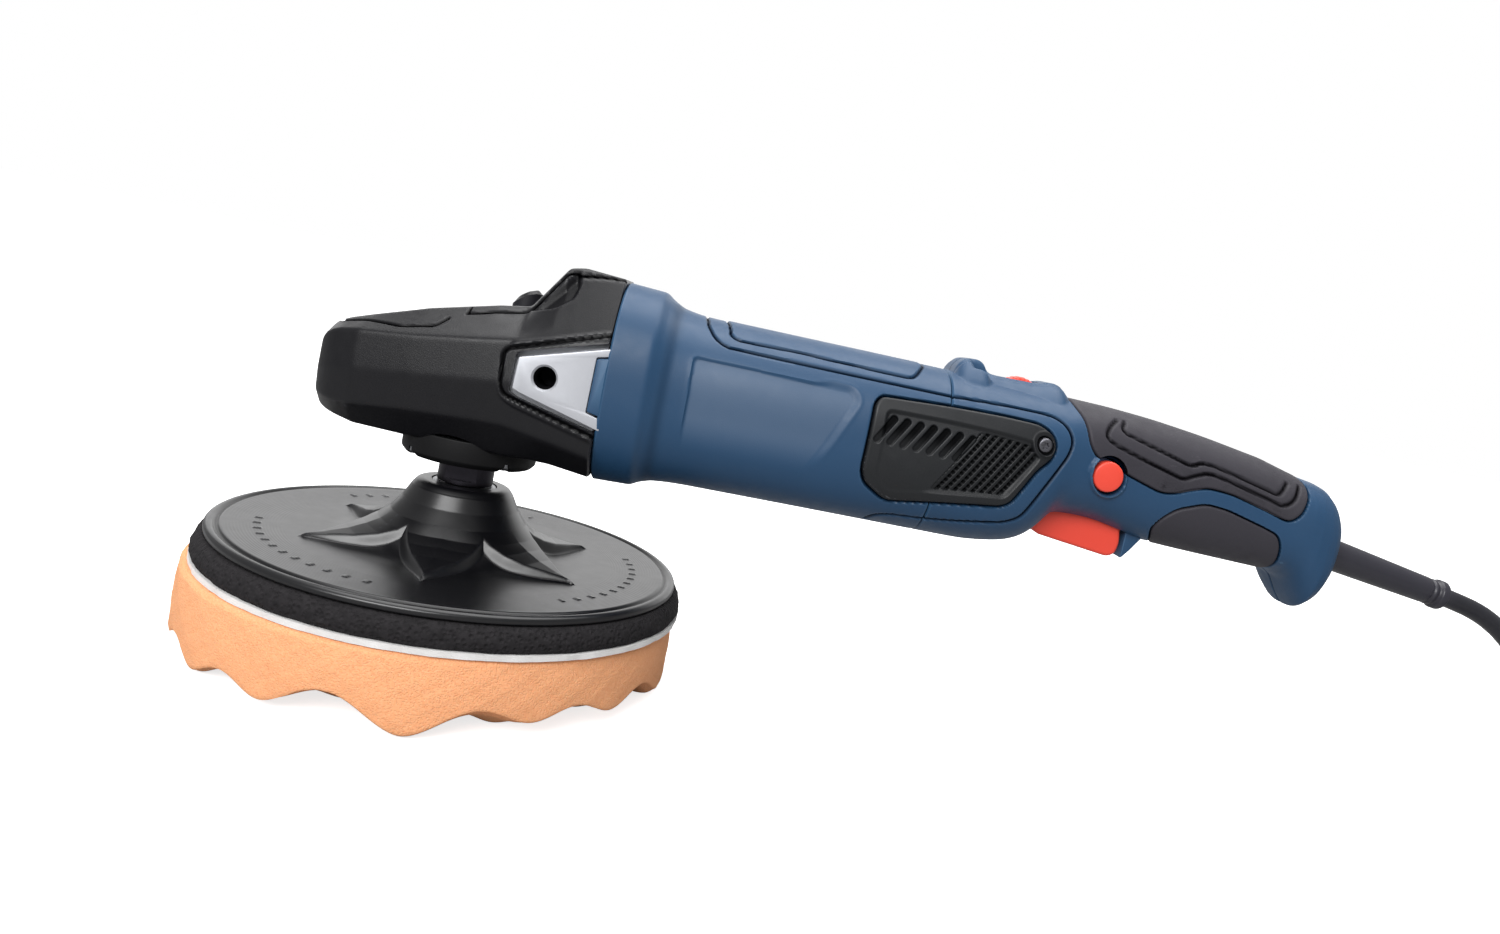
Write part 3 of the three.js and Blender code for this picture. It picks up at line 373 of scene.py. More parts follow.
def make(name, vertices, faces, material, sharp=38, attributes=None, solid=True):
    """A mesh piece from points in mm and groups of equally long faces."""
    corners = np.concatenate([np.asarray(group).ravel() for group in faces])
    sizes = np.concatenate([np.full(len(group), np.asarray(group).shape[1]) for group in faces])
    starts = np.concatenate([[0], np.cumsum(sizes)[:-1]])
    mesh = bpy.data.meshes.new(name)
    mesh.vertices.add(len(vertices))
    mesh.vertices.foreach_set("co", (np.asarray(vertices) * MM).astype(np.float32).ravel())
    mesh.loops.add(len(corners))
    mesh.loops.foreach_set("vertex_index", corners.astype(np.int32))
    mesh.polygons.add(len(starts))
    mesh.polygons.foreach_set("loop_start", starts.astype(np.int32))
    mesh.update(calc_edges=True)
    mesh.validate()
    for key, values in (attributes or {}).items():
        layer = mesh.attributes.new(key, "FLOAT", "POINT")
        layer.data.foreach_set("value", np.asarray(values, np.float32).ravel())
    piece = bpy.data.objects.new(name, mesh)
    bpy.context.scene.collection.objects.link(piece)
    if solid:
        tidy(piece)
    finish_surface(piece, material, sharp)
    return piece


def tidy(piece):
    """Merges doubled points and turns every face outward."""
    work = bmesh.new()
    work.from_mesh(piece.data)
    bmesh.ops.remove_doubles(work, verts=work.verts, dist=1e-6)
    bmesh.ops.recalc_face_normals(work, faces=work.faces)
    work.to_mesh(piece.data)
    work.free()


def finish_surface(piece, material, sharp):
    piece.data.materials.clear()
    piece.data.materials.append(material)
    piece.data.shade_smooth()
    piece.data.set_sharp_from_angle(angle=math.radians(sharp))


def settle(piece, body, slot, *nodes):
    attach(piece, body)
    if nodes:
        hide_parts(*nodes)


def bake_modifiers(piece):
    """Applies a piece's modifiers to its mesh."""
    evaluated = piece.evaluated_get(bpy.context.evaluated_depsgraph_get())
    mesh = bpy.data.meshes.new_from_object(evaluated)
    piece.modifiers.clear()
    piece.data = mesh


def combine(piece, cutter, operation, solver="EXACT"):
    """Joins the cutter to a piece or cuts it away, and removes the cutter."""
    step = piece.modifiers.new("combine", "BOOLEAN")
    step.operation = operation
    step.solver = solver
    step.object = cutter
    bpy.context.view_layer.update()
    bake_modifiers(piece)
    bpy.data.objects.remove(cutter)


def merge(piece, *others):
    """Takes the other pieces' meshes into one object as separate closed parts."""
    work = bmesh.new()
    for part in (piece, *others):
        work.from_mesh(part.data)
    work.to_mesh(piece.data)
    work.free()
    for part in others:
        bpy.data.objects.remove(part)


def grid_faces(rows, columns, wrap=False, base=0):
    i = np.arange(rows - 1)[:, None] * columns
    j = np.arange(columns if wrap else columns - 1)[None, :]
    following = (j + 1) % columns
    corners = [i + j, i + columns + j, i + columns + following, i + following]
    return np.stack([c + 0 * j for c in corners], -1).reshape(-1, 4) + base


def border_faces(dense, sparse, step, wrap=False):
    """Joins a dense row of point numbers to a row that has every step-th of them."""
    count = len(sparse) if wrap else len(sparse) - 1
    faces = []
    for k in range(count):
        near = [dense[(k * step + i) % len(dense)] for i in range(step + 1)]
        faces.append([*near, sparse[(k + 1) % len(sparse)], sparse[k]])
    return np.array(faces)


def thick_patch(name, outer, inner, material, wrap=False, step=6, attributes=None, sharp=38, capped=False):
    """A closed wall between a dense outer grid and every step-th point of an inner one.

    A capped tube ends in a middle point on each side of the wall at its first ring.
    """
    rows, columns = outer.shape[:2]
    sparse = inner[::step, ::step]
    inner_rows, inner_columns = sparse.shape[:2]
    base = rows * columns
    total = base + inner_rows * inner_columns
    number = np.arange(base).reshape(rows, columns)
    inner_number = np.arange(base, total).reshape(inner_rows, inner_columns)
    faces = [grid_faces(rows, columns, wrap), grid_faces(inner_rows, inner_columns, wrap, base)[:, ::-1]]
    points = [outer.reshape(-1, 3), sparse.reshape(-1, 3)]
    if capped:
        points += [[outer[0].mean(0)], [sparse[0].mean(0)]]
        for ring, middle in ((number[0], total), (inner_number[0], total + 1)):
            faces.append(np.stack([ring, np.roll(ring, -1), np.full(len(ring), middle)], 1))
    else:
        faces.append(border_faces(number[0], inner_number[0], step, wrap))
    faces.append(border_faces(number[-1], inner_number[-1], step, wrap))
    if not wrap:
        faces.append(border_faces(number[:, 0], inner_number[:, 0], step))
        faces.append(border_faces(number[:, -1], inner_number[:, -1], step))
    points = np.concatenate(points)
    extra = {}
    for key, values in (attributes or {}).items():
        extra[key] = np.concatenate([np.ravel(values), np.zeros(len(points) - base)])
    return make(name, points, faces, material, sharp, extra)


def circle(angle, radius, height, centre=(0, 0)):
    """Points round an upright axis. Radius and height are numbers or arrays that fit the angles."""
    x = centre[0] + radius * np.cos(angle)
    y = centre[1] + radius * np.sin(angle)
    return np.stack([x, y, height + 0 * x], -1)


def from_rings(name, rings, material, sharp, attributes=None):
    """A closed piece of equally long rings of points."""
    rings = np.asarray(rings)
    rows, columns = rings.shape[:2]
    return make(name, rings.reshape(-1, 3), [grid_faces(rows, columns, True)], material, sharp, attributes)


def lathe(name, profile, material, axis="z", centre=(0, 0, 0), segments=96, sharp=32, ripple=None):
    """A solid of revolution from (radius, height) points. One that starts off the axis closes on itself."""
    profile = np.array(profile, float)
    closed = profile[0, 0] > 0
    angle = np.arange(segments) * TAU / segments
    radius = profile[:, 0][:, None] * (1 + (ripple(angle)[None, :] if ripple else 0))
    first, second = radius * np.cos(angle), radius * np.sin(angle)
    height = np.repeat(profile[:, 1][:, None], segments, 1)
    order = {"z": (first, second, height), "x": (height, first, second), "y": (second, height, first)}[axis]
    points = np.stack(order, -1)
    if closed:
        points = np.concatenate([points, points[:1]])
    return from_rings(name, points + np.array(centre), material, sharp)


def drill(piece, radius, low, high, axis="z", centre=(0, 0, 0), segments=64, solver="EXACT"):
    """Cuts a round hole or chamber."""
    profile = [(0, low), (radius, low), (radius, high), (0, high)]
    cutter = lathe("cut", profile, piece.data.materials[0], axis, centre, segments)
    combine(piece, cutter, "DIFFERENCE", solver)


def eased(profile, radius, steps=4):
    """Rounds the corners of an open path of points."""
    points = [np.array(p, float) for p in profile]
    path = [points[0]]
    for before, corner, after in zip(points, points[1:], points[2:]):
        reach = min(radius, np.linalg.norm(corner - before) * 0.48, np.linalg.norm(after - corner) * 0.48)
        start = corner + (before - corner) / max(np.linalg.norm(before - corner), 1e-9) * reach
        end = corner + (after - corner) / max(np.linalg.norm(after - corner), 1e-9) * reach
        for k in range(steps + 1):
            t = k / steps
            path.append(start * (1 - t) ** 2 + 2 * corner * t * (1 - t) + end * t * t)
    return np.array([*path, points[-1]])


def eased_loop(outline, radius, steps=4):
    """Rounds the corners of a closed outline."""
    ring = [*outline[-1:], *outline, *outline[:1]]
    return eased(ring, radius, steps)[1:-1]


def prism(name, outline, low, high, material, bevel=0.6, axis="y", sharp=38, segments=3):
    """An outline extruded along an axis, with rounded edges. For "y" the outline holds (x, z) points."""
    outline = np.array(outline, float)
    count = len(outline)
    spread = {"y": lambda p, t: (p[0], t, p[1]), "z": lambda p, t: (p[0], p[1], t)}[axis]
    points = [spread(p, low) for p in outline] + [spread(p, high) for p in outline]
    ends = [list(range(count)), list(range(count, 2 * count))]
    sides = [[i, (i + 1) % count, (i + 1) % count + count, i + count] for i in range(count)]
    piece = make(name, points, [np.array(ends), np.array(sides)], material, sharp)
    if bevel:
        step = piece.modifiers.new("rounding", "BEVEL")
        step.width = bevel * MM
        step.segments = segments
        step.limit_method = "ANGLE"
        step.angle_limit = math.radians(50)
        bpy.context.view_layer.update()
        bake_modifiers(piece)
        finish_surface(piece, material, sharp)
    return piece


# ---------------------------------------------------------------- curves and distances on a surface


def soft(t):
    t = np.clip(t, 0, 1)
    return t * t * (3 - 2 * t)


def distance_to(path, x, s, closed=False, reach=12):
    """Distance of grid points to a path, in mm. Points farther than reach from its box keep a large value."""
    path = np.asarray(path, float)
    far = np.full(x.shape, 1e3)
    near = (x > path[:, 0].min() - reach) & (x < path[:, 0].max() + reach)
    near &= (s > path[:, 1].min() - reach) & (s < path[:, 1].max() + reach)
    points = np.stack([x[near], s[near]], 1)
    best = np.full(len(points), 1e3)
    ends = np.roll(path, -1, 0) if closed else path[1:]
    for start, end in zip(path, ends):
        along = end - start
        share = np.clip((points - start) @ along / max(along @ along, 1e-12), 0, 1)
        best = np.minimum(best, np.linalg.norm(points - start - share[:, None] * along, axis=1))
    far[near] = best
    return far


def inside(path, x, s):
    """Whether grid points lie in a closed outline."""
    path = np.asarray(path, float)
    found = np.zeros(x.shape, bool)
    for (x0, s0), (x1, s1) in zip(path, np.roll(path, -1, 0)):
        if s0 != s1:
            found ^= ((s0 > s) != (s1 > s)) & (x < (x1 - x0) * (s - s0) / (s1 - s0) + x0)
    return found


def depth_in(path, x, s, reach=12):
    """Distance to a closed outline, negative inside it."""
    distance = distance_to(path, x, s, True, reach)
    return np.where(inside(path, x, s), -distance, distance)


def bell(spread):
    """The weights of a smooth blur."""
    size = max(1, int(spread * 3))
    weights = np.exp(-0.5 * (np.arange(-size, size + 1) / spread) ** 2)
    return weights / weights.sum()


def blurred(rows, spread):
    """Rows of a table smoothed along it, with the two ends kept."""
    weights = bell(spread)
    size = len(weights) // 2
    before = 2 * rows[0] - rows[size:0:-1]
    after = 2 * rows[-1] - rows[-2:-size - 2:-1]
    padded = np.concatenate([before, rows, after])
    return np.stack([np.convolve(padded[:, k], weights, "valid") for k in range(rows.shape[1])], 1)


def travelled(path):
    """Distances from a path's start to each of its points."""
    return np.concatenate([[0], np.cumsum(np.linalg.norm(np.diff(path, axis=0), axis=1))])


def resampled(table, spacing):
    """The rows of a table, worked out again about one spacing apart."""
    table = np.array(table, float)
    return along_path(table, int(travelled(table)[-1] / spacing) + 1)


def along_path(path, count):
    """Points at even distances along a path."""
    path = np.asarray(path, float)
    lengths = travelled(path)
    at = np.linspace(0, lengths[-1], count)
    return np.stack([np.interp(at, lengths, path[:, k]) for k in range(path.shape[1])], 1)


# ---------------------------------------------------------------- the body's surface

RING_STEPS = 481                     # points worked out on each half ring before they are spaced evenly
PATH_SPACING = 0.25


def body_rows():
    """The body's sections as a smooth path: crisp at the collar, soft along the handle."""
    rows = resampled(BODY_SECTIONS, PATH_SPACING)
    crisp, medium, loose = (blurred(rows, spread / PATH_SPACING) for spread in (0.8, 1.5, 4.0))
    x = rows[:, 0:1]
    share = soft((x - 66) / 12) * (1 - soft((x - 284) / 14))
    ends = np.where(x > 326, medium, crisp)
    return ends * (1 - share) + loose * share


ROWS = body_rows()
PEAK = int(ROWS[:, 0].argmax())      # past this row the surface turns in to the boot's hole


def half_ring(row):
    """Points (y, z) of the left half ring from the top seam to the bottom one, and the distance along it."""
    _, half, top, bottom, exponent = row
    angle = np.linspace(0, math.pi, RING_STEPS)
    side = np.abs(np.sin(angle)) ** (2 / exponent)
    rise = np.sign(np.cos(angle)) * np.abs(np.cos(angle)) ** (2 / exponent)
    y = -half * side
    z = (top + bottom) / 2 + (top - bottom) / 2 * rise
    s = np.concatenate([[0], np.cumsum(np.hypot(np.diff(y), np.diff(z)))])
    return y, z, s


def row_at(x):
    return np.array([np.interp(x, ROWS[:PEAK, 0], ROWS[:PEAK, k]) for k in range(ROWS.shape[1])])


def to_surface(points):
    """Side-view points (x, z) as (x, distance from the top seam) on the body."""
    found = []
    for x, z in points:
        _, ring_z, s = half_ring(row_at(x))
        found.append((x, np.interp(-z, -ring_z, s)))
    return np.array(found)


def seam_length(x):
    return half_ring(row_at(x))[2][-1]


class Skin:
    """A grid on the left half of the body: places, outward directions, x and distance from the top seam."""

    def __init__(self, rows, share):
        points, s = [], []
        for row in rows:
            y, z, length = half_ring(row)
            at = share * length[-1]
            across, up = np.interp(at, length, y), np.interp(at, length, z)
            points.append(np.stack([np.full(len(at), row[0]), across, up], 1))
            s.append(at)
        self.points = np.array(points)
        self.s = np.array(s)
        self.x = self.points[..., 0]
        self.normals = grid_normals(self.points)


def grid_normals(points):
    along = np.gradient(points, axis=0)
    across = np.gradient(points, axis=1)
    normal = np.cross(along, across)
    length = np.linalg.norm(normal, axis=-1, keepdims=True)
    return -normal / np.maximum(length, 1e-9)


def surface_at(x, s):
    """Places on the left half of the body for grids of x and distance from the top seam."""
    stations = np.arange(math.floor(x.min()) - 1, math.ceil(x.max()) + 2, 0.5)
    table = np.array([half_ring_table(station) for station in stations])
    u = (x - stations[0]) / 0.5
    i = np.clip(u.astype(int), 0, len(stations) - 2)
    fraction = u - i
    spacing = table[0, 1, 3]

    def sample(row):
        v = np.clip(s / spacing, 0, table.shape[1] - 1.001)
        j = v.astype(int)
        part = (v - j)[..., None]
        return table[row, j, :3] * (1 - part) + table[row, j + 1, :3] * part

    places = sample(i) * (1 - fraction[..., None]) + sample(i + 1) * fraction[..., None]
    places[..., 0] = x
    return places


TABLE_STEPS = 500
TABLE_SPACING = 0.25


def half_ring_table(x):
    """The half ring at x as points at fixed distances from the top seam, past the bottom seam held still."""
    y, z, s = half_ring(row_at(x))
    at = np.arange(TABLE_STEPS) * TABLE_SPACING
    return np.stack([np.full(TABLE_STEPS, x), np.interp(at, s, y), np.interp(at, s, z), at], 1)


# Rounded outlines in surface coordinates.
VENT_LOOP = eased_loop(to_surface(VENT_OUTLINE), 3)
UPPER_LOOP = eased_loop(to_surface(UPPER_GRIP), 3.2)
LOWER_LOOP = eased_loop(to_surface(LOWER_GRIP), 3)
RACETRACK_PATH = eased(to_surface(RACETRACK), 3)
PANEL_PATH = eased(to_surface(TOP_PANEL), 2)
LABEL_LOOP = eased_loop(to_surface(LABEL_OUTLINE), 2)
GRIP_PATHS = [eased(to_surface(line), 2.5) for line in GRIP_LINES]


def groove(distance, width, depth):
    """Height and shade of a rounded groove."""
    share = 1 - soft((distance - 0.3) / (width / 2 - 0.2))
    return -depth * share, share


def step_down(signed, depth, ramp):
    """Height of a recess inside an outline, with a short sloping wall."""
    return -depth * (1 - soft(signed / ramp + 0.5))


def body_relief(x, s, side):
    """Heights, painted shade and label share of the body's moulded details: shade painted into grooves, into
    the gaps round inlays and behind the collar step, and a label share that carries a painted reflection.
    """
    height = np.zeros(x.shape)
    shade = np.zeros(x.shape)
    # Painted shade in the racetrack's and the top panel's grooves.
    for path, width, depth in ((RACETRACK_PATH, 1.5, 0.75), (PANEL_PATH, 1.3, 0.6)):
        low, dark = groove(distance_to(path, x, s), width, depth)
        height += low
        shade = np.maximum(shade, dark)
    # Painted shade in a band just behind the collar step.
    shade = np.maximum(shade, 0.3 * np.exp(-((x - 68.5) / 2.2) ** 2))
    panel = np.concatenate([PANEL_PATH, PANEL_PATH[:1]])
    height += 0.35 * (1 - soft(depth_in(panel, x, s) / 1.2 + 1))
    label = depth_in(LABEL_LOOP, x, s)
    ramp = 1 + 2.2 * soft((x - 118) / 10)
    fade = 1 - soft((s - s_at(x, 112)) / 14)
    height += -0.8 * (1 - soft(label / ramp)) * fade
    # The label's colour share fades out towards the bottom; its lighter colour is partly a painted
    # reflection.
    label_and_reflection_share = (1 - soft(label / 0.8 + 0.5)) * fade
    rim = np.exp(-((label - ramp) / 0.7) ** 2) * fade
    height += 0.12 * rim
    # Painted shade below, in the gaps round the vent grille, the grips and the lock-on button.
    vent = depth_in(VENT_LOOP, x, s)
    height += step_down(vent - 0.5, VENT_DEPTH + 0.5, 0.7)
    shade = np.maximum(shade, 1 - soft((vent - 0.5) / 0.7))
    for loop in (UPPER_LOOP, LOWER_LOOP):
        grip = depth_in(loop, x, s)
        height += step_down(grip - 0.4, GRIP_DEPTH + 0.5, 0.7)
        shade = np.maximum(shade, 1 - soft((grip - 0.3) / 0.6))
    if side < 0:
        ring = np.hypot(x - LOCK_ON[0], s - to_surface([LOCK_ON])[0, 1])
        height += 1.3 * (1 - soft((ring - 7.3) / 1.0)) * soft((ring - 5.4) / 0.5)
        height += -3.5 * (1 - soft((ring - 6.3) / 0.5))
        shade = np.maximum(shade, 1 - soft((ring - 6.3) / 0.6))
    return height, shade, label_and_reflection_share


def s_at(x, z):
    """Distance from the top seam of the height z, for a grid of x."""
    stations = np.linspace(x.min(), x.max(), 24)
    values = [to_surface([(station, z)])[0, 1] for station in stations]
    return np.interp(x, stations, values)


ISLAND_TOP = [(172.6, 140), (173.4, 146.4), (176.2, 149.9), (181.8, 150.5), (184.4, 149.4), (186.4, 146.2),
              (190, 145.9), (205, 146.1), (211, 147.6), (214.2, 146.9), (217.2, 144), (219.5, 141)]
ISLAND_HALF = 9


def raise_island(points):
    """Lifts the top of the handle to the island: thumb rest, speed wheel's deck and rear hump."""
    x, y, z = (points[..., k] for k in range(3))
    top = np.array(eased(ISLAND_TOP, 2.5))
    crest = np.interp(x, top[:, 0], top[:, 1], left=0, right=0)
    out = np.abs(y) - ISLAND_HALF
    past = np.maximum(out, 0)
    flank = crest - 0.42 * past - 0.04 * past ** 2 - 0.09 * np.maximum(past - 9, 0) ** 2
    round_off = 1.2 * np.maximum(0, 1 - np.abs(out) / 2.2) ** 2
    near = soft((np.abs(y) - 5) / 2.5) * (1 - soft((np.abs(y) - 11.5) / 3))
    scoop_depth = 4.6 * np.exp(-(np.abs(x - 182.8) / 3.4) ** 3) * near
    wanted = flank - round_off - scoop_depth * soft((crest - 145) / 3)
    over = wanted - z
    blend = np.where(over > 0, over, 0) * (z > 125)
    # Painted shade in the thumb scoop.
    shade = soft(scoop_depth / 4.6 - 0.3) * 0.55
    lifted = points.copy()
    lifted[..., 2] = z + blend
    return lifted, shade


TRIGGER_ROOM = (215.3, 252.2, 10.1, 106.5)     # x from, x to, half width, ceiling
DIAL_ROOM = (194.4, 206.8, 3.5, 128.6)         # x from, x to, half width, floor


def box_share(points, x0, x1, half, ramp=0.6):
    """1 within an upright slot, 0 outside it, with a short ramp between."""
    out = np.maximum(np.abs(points[..., 0] - (x0 + x1) / 2) - (x1 - x0) / 2, np.abs(points[..., 1]) - half)
    return 1 - soft(out / ramp + 0.5)


def open_slots(points, extra=0.0):
    """Sinks the trigger's pocket and the speed wheel's slot. Extra widens and deepens both."""
    moved = points.copy()
    x0, x1, half, ceiling = TRIGGER_ROOM
    share = box_share(moved, x0 - extra, x1 + extra, half + extra) * (moved[..., 2] < MOTOR_AXIS - 5)
    moved[..., 2] += np.maximum(0, ceiling + extra - moved[..., 2]) * share
    x0, x1, half, floor = DIAL_ROOM
    slot = box_share(moved, x0 - extra, x1 + extra, half + extra) * (moved[..., 2] > MOTOR_AXIS)
    moved[..., 2] -= np.maximum(0, moved[..., 2] - floor + extra) * slot
    return moved, np.maximum(share, slot)


def sink_wells(points, extra=0.0):
    """Round wells for the handle screws, driven from the right."""
    moved = points.copy()
    deepest = np.zeros(points.shape[:2])
    for x, z, head_y in HANDLE_SCREWS:
        share = 1 - soft((np.hypot(moved[..., 0] - x, moved[..., 2] - z) - 4.2 - extra) / 0.5)
        share = share * (moved[..., 1] > 0)
        moved[..., 1] -= np.maximum(0, moved[..., 1] - head_y + extra) * share
        deepest = np.maximum(deepest, share)
    return moved, deepest


def mirrored(points):
    return points * np.array([1, -1, 1])


def even(count, step):
    """The nearest number of grid points that every step-th point can span."""
    return max(1, round((count - 1) / step)) * step + 1


WALL = 3
FINE = 0.52                          # spacing of the body's outer grid
STEP = 6                             # outer grid points to one of the inner grid
HALF_RING = 100                      # rough lengths that the grid's counts come from
HANDLE_PATH = 190


def motor_housing():
    rows = resampled(ROWS[ROWS[:, 0] <= SEAM_X][:, :5], 0.05)
    rows = rows[rows[:, 0] <= SEAM_X]
    rows = along_path(rows, even((SEAM_X - FLANGE_X) / FINE, STEP))
    half_columns = even(HALF_RING / FINE, STEP)
    skin = Skin(rows, np.linspace(0, 1, half_columns))
    parts = []
    for side in (-1, 1):
        height, shade, label = body_relief(skin.x, skin.s, side)
        height = height + edge_ease(skin.x, FLANGE_X, SEAM_X, 0.7)
        outer = skin.points + skin.normals * height[..., None]
        inner = skin.points - skin.normals * WALL
        if side > 0:
            outer, inner = mirrored(outer), mirrored(inner)
        parts.append((outer, inner, shade, label))
    around = lambda k: np.concatenate([parts[0][k], parts[1][k][:, -2:0:-1]], 1)
    outer, inner = around(0), around(1)
    inner[0, :, 0] = outer[0, :, 0]
    inner[-1, :, 0] = outer[-1, :, 0]
    # The painted shade and the label's share, with its painted reflection, go on the shell as mesh
    # attributes.
    piece = thick_patch("motor_housing_shell", outer, inner, BLUE, True, STEP,
                        {"painted_shade": around(2), "label": around(3)})
    tongues = []
    for side in (-1, 1):
        outline = eased_loop([(44.5, 105), (44.8, 123.6), (49.6, 124.6), (49.6, 104)], 0.8)
        low, high = sorted((side * 33, side * 37.2))
        tongues.append(prism(f"tongue_{side}", outline, low, high, BLUE, 0.5))
    merge(piece, *tongues)
    finish_surface(piece, BLUE, 38)
    settle(piece, "root", "blue_plastic", "motor_housing")


def edge_ease(x, start, end, radius):
    """Rounds the first and last rows of a tube down by a quarter circle."""
    near = np.minimum(x - start, end - x)
    return -radius * (1 - np.sqrt(np.clip(1 - (1 - np.clip(near / radius, 0, 1)) ** 2, 0, 1)))


def handle_shell(name, side):
    start = SEAM_X + GAP
    first = int(np.argmax(ROWS[:, 0] >= start))
    rows = ROWS[first:].copy()
    rows[0] = row_at(start)
    rows = along_path(rows, even(HANDLE_PATH / FINE, STEP))
    columns = even(HALF_RING / FINE, STEP)
    skin = Skin(rows, np.linspace(0, 1, columns))
    height, shade, _ = body_relief(skin.x, skin.s, side)
    to_seam = np.minimum(skin.s, skin.s[:, -1:] - skin.s)
    seam = -0.45 * (1 - soft(to_seam / 0.9))
    height = height + seam + edge_ease(skin.x, start, 400, 0.7)
    # Painted shade along the seam between the two halves.
    shade = np.maximum(shade, (1 - soft(to_seam / 0.5)) * 0.7)
    outer = skin.points + skin.normals * height[..., None]
    inner = skin.points - skin.normals * WALL * soft((HANDLE_END_X + 2 - skin.x) / 4)[..., None].clip(0.35)
    outer, scoop_shade = raise_island(outer)
    outer, sunk = open_slots(outer)
    inner, _ = open_slots(inner, 2.2)
    # Painted shade in the thumb scoop, the trigger's pocket and the speed wheel's slot.
    shade = np.maximum.reduce([shade, scoop_shade, sunk])
    outer[..., 1] = np.minimum(outer[..., 1], -GAP / 2)
    inner[..., 1] = np.minimum(inner[..., 1], -GAP / 2)
    inner[0, :, 0] = start
    if side > 0:
        outer, inner = mirrored(outer), mirrored(inner)
        outer, wells = sink_wells(outer)
        inner, _ = sink_wells(inner, 3)
        # Painted shade in the screw wells.
        shade = np.maximum(shade, wells)
    piece = thick_patch(name + "_handle", outer, inner, BLUE, False, STEP,
                        {"painted_shade": shade, "label": np.zeros_like(shade)})
    guard_outline = eased_loop([(252.2, 101), (252.5, 87), (255.2, 90.6), (260.5, 99), (261, 103)], 0.9)
    low, high = sorted((side * GAP / 2, side * 9.4))
    merge(piece, prism(name + "_guard", guard_outline, low, high, BLUE, 0.7))
    finish_surface(piece, BLUE, 38)
    settle(piece, "root", "blue_plastic", name + "_handle_shell")


# ---------------------------------------------------------------- patches let into the body


def spread_ends(count, tightness=0.5):
    """Shares from 0 to 1, closer together near both ends."""
    t = np.linspace(0, 1, count)
    return t * (1 - tightness) + tightness * (1 - np.cos(math.pi * t)) / 2


def coons(loop, corners, rows, columns):
    """A grid over a closed outline. Its sides run between the outline's points nearest to the corners."""
    loop = np.asarray(loop)
    at = [int(np.argmin(np.linalg.norm(loop - np.array(corner), axis=1))) for corner in corners]

    def side(start, end, count):
        part = loop[start:end + 1] if end >= start else np.concatenate([loop[start:], loop[:end + 1]])
        dense = along_path(part, 2001)
        return dense[np.round(spread_ends(count) * 2000).astype(int)]

    a, b, c, d = at
    top = side(a, b, rows)
    right = side(b, c, columns)
    bottom = side(c, d, rows)[::-1]
    left = side(d, a, columns)[::-1]
    u = spread_ends(rows)[:, None, None]
    v = spread_ends(columns)[None, :, None]
    ruled = top[:, None] * (1 - v) + bottom[:, None] * v + left[None] * (1 - u) + right[None] * u
    upper = top[0] * (1 - u) + top[-1] * u
    lower = bottom[0] * (1 - u) + bottom[-1] * u
    return ruled - upper * (1 - v) - lower * v


def inlay(name, side, loop, corners, size, relief, depth, material, slot, node, seam=None, openings=()):
    """A thin closed piece that fills an outline on the body, with its own relief and round openings."""
    rows, columns = (even(n, 4) for n in size)
    grid = coons(loop, corners, rows, columns)
    x, s = grid[..., 0], grid[..., 1]
    if seam == "bottom":
        s = np.minimum(s, np.interp(x, *seam_table()) - 0.2)
    s = np.maximum(s, 0.2 if seam == "top" else 0)
    places = surface_at(x, s)
    step = 0.3
    along = surface_at(x + step, s) - surface_at(x - step, s)
    across = surface_at(x, s + step) - surface_at(x, np.maximum(s - step, 0))
    normals = -np.cross(along, across)
    normals /= np.maximum(np.linalg.norm(normals, axis=-1, keepdims=True), 1e-9)
    height, shade = relief(x, s)
    outer = places + normals * height[..., None]
    inner = places - normals * depth
    outer[..., 1] = np.minimum(outer[..., 1], -GAP / 2)
    inner[..., 1] = np.minimum(inner[..., 1], -GAP / 2)
    if side > 0:
        outer, inner = mirrored(outer), mirrored(inner)
    piece = thick_patch(name, outer, inner, material, False, 4, {"painted_shade": shade}, 62)
    for (hole_x, hole_z), radius in openings:
        low, high = sorted((8 * side, 50 * side))
        drill(piece, radius, low, high, "y", (hole_x, 0, hole_z), solver="MANIFOLD")
    if openings:
        finish_surface(piece, material, 62)
    settle(piece, "root", slot, node)


def seam_table():
    stations = np.arange(250, 320, 2.0)
    return stations, np.array([seam_length(station) for station in stations])


def rim(signed, radius):
    """Height lost over the rounded rim of a patch."""
    near = np.clip(-signed / radius, 0, 1)
    return -radius * (1 - np.sqrt(np.clip(1 - (1 - near) ** 2, 0, 1)))


SLOT_LEAN = np.array([-0.5, 0.866])      # direction of the vent's slots in x and distance from the top seam
VENT_FIELD = [(147.6, 126.6), (203.8, 125.4), (205.4, 120.6), (195.8, 103.8), (169, 100.8), (154, 98.2),
              (148.2, 103)]
MESH_FIELD = [(182.4, 125.6), (202.4, 124.2), (204.4, 120.4), (195, 104.6), (168.6, 101.6)]
SLOT_TOPS = ((151.2, 124.8), (180.4, 123.4))
SLOT_COUNT = 7
SLOT_LENGTH = 10.5


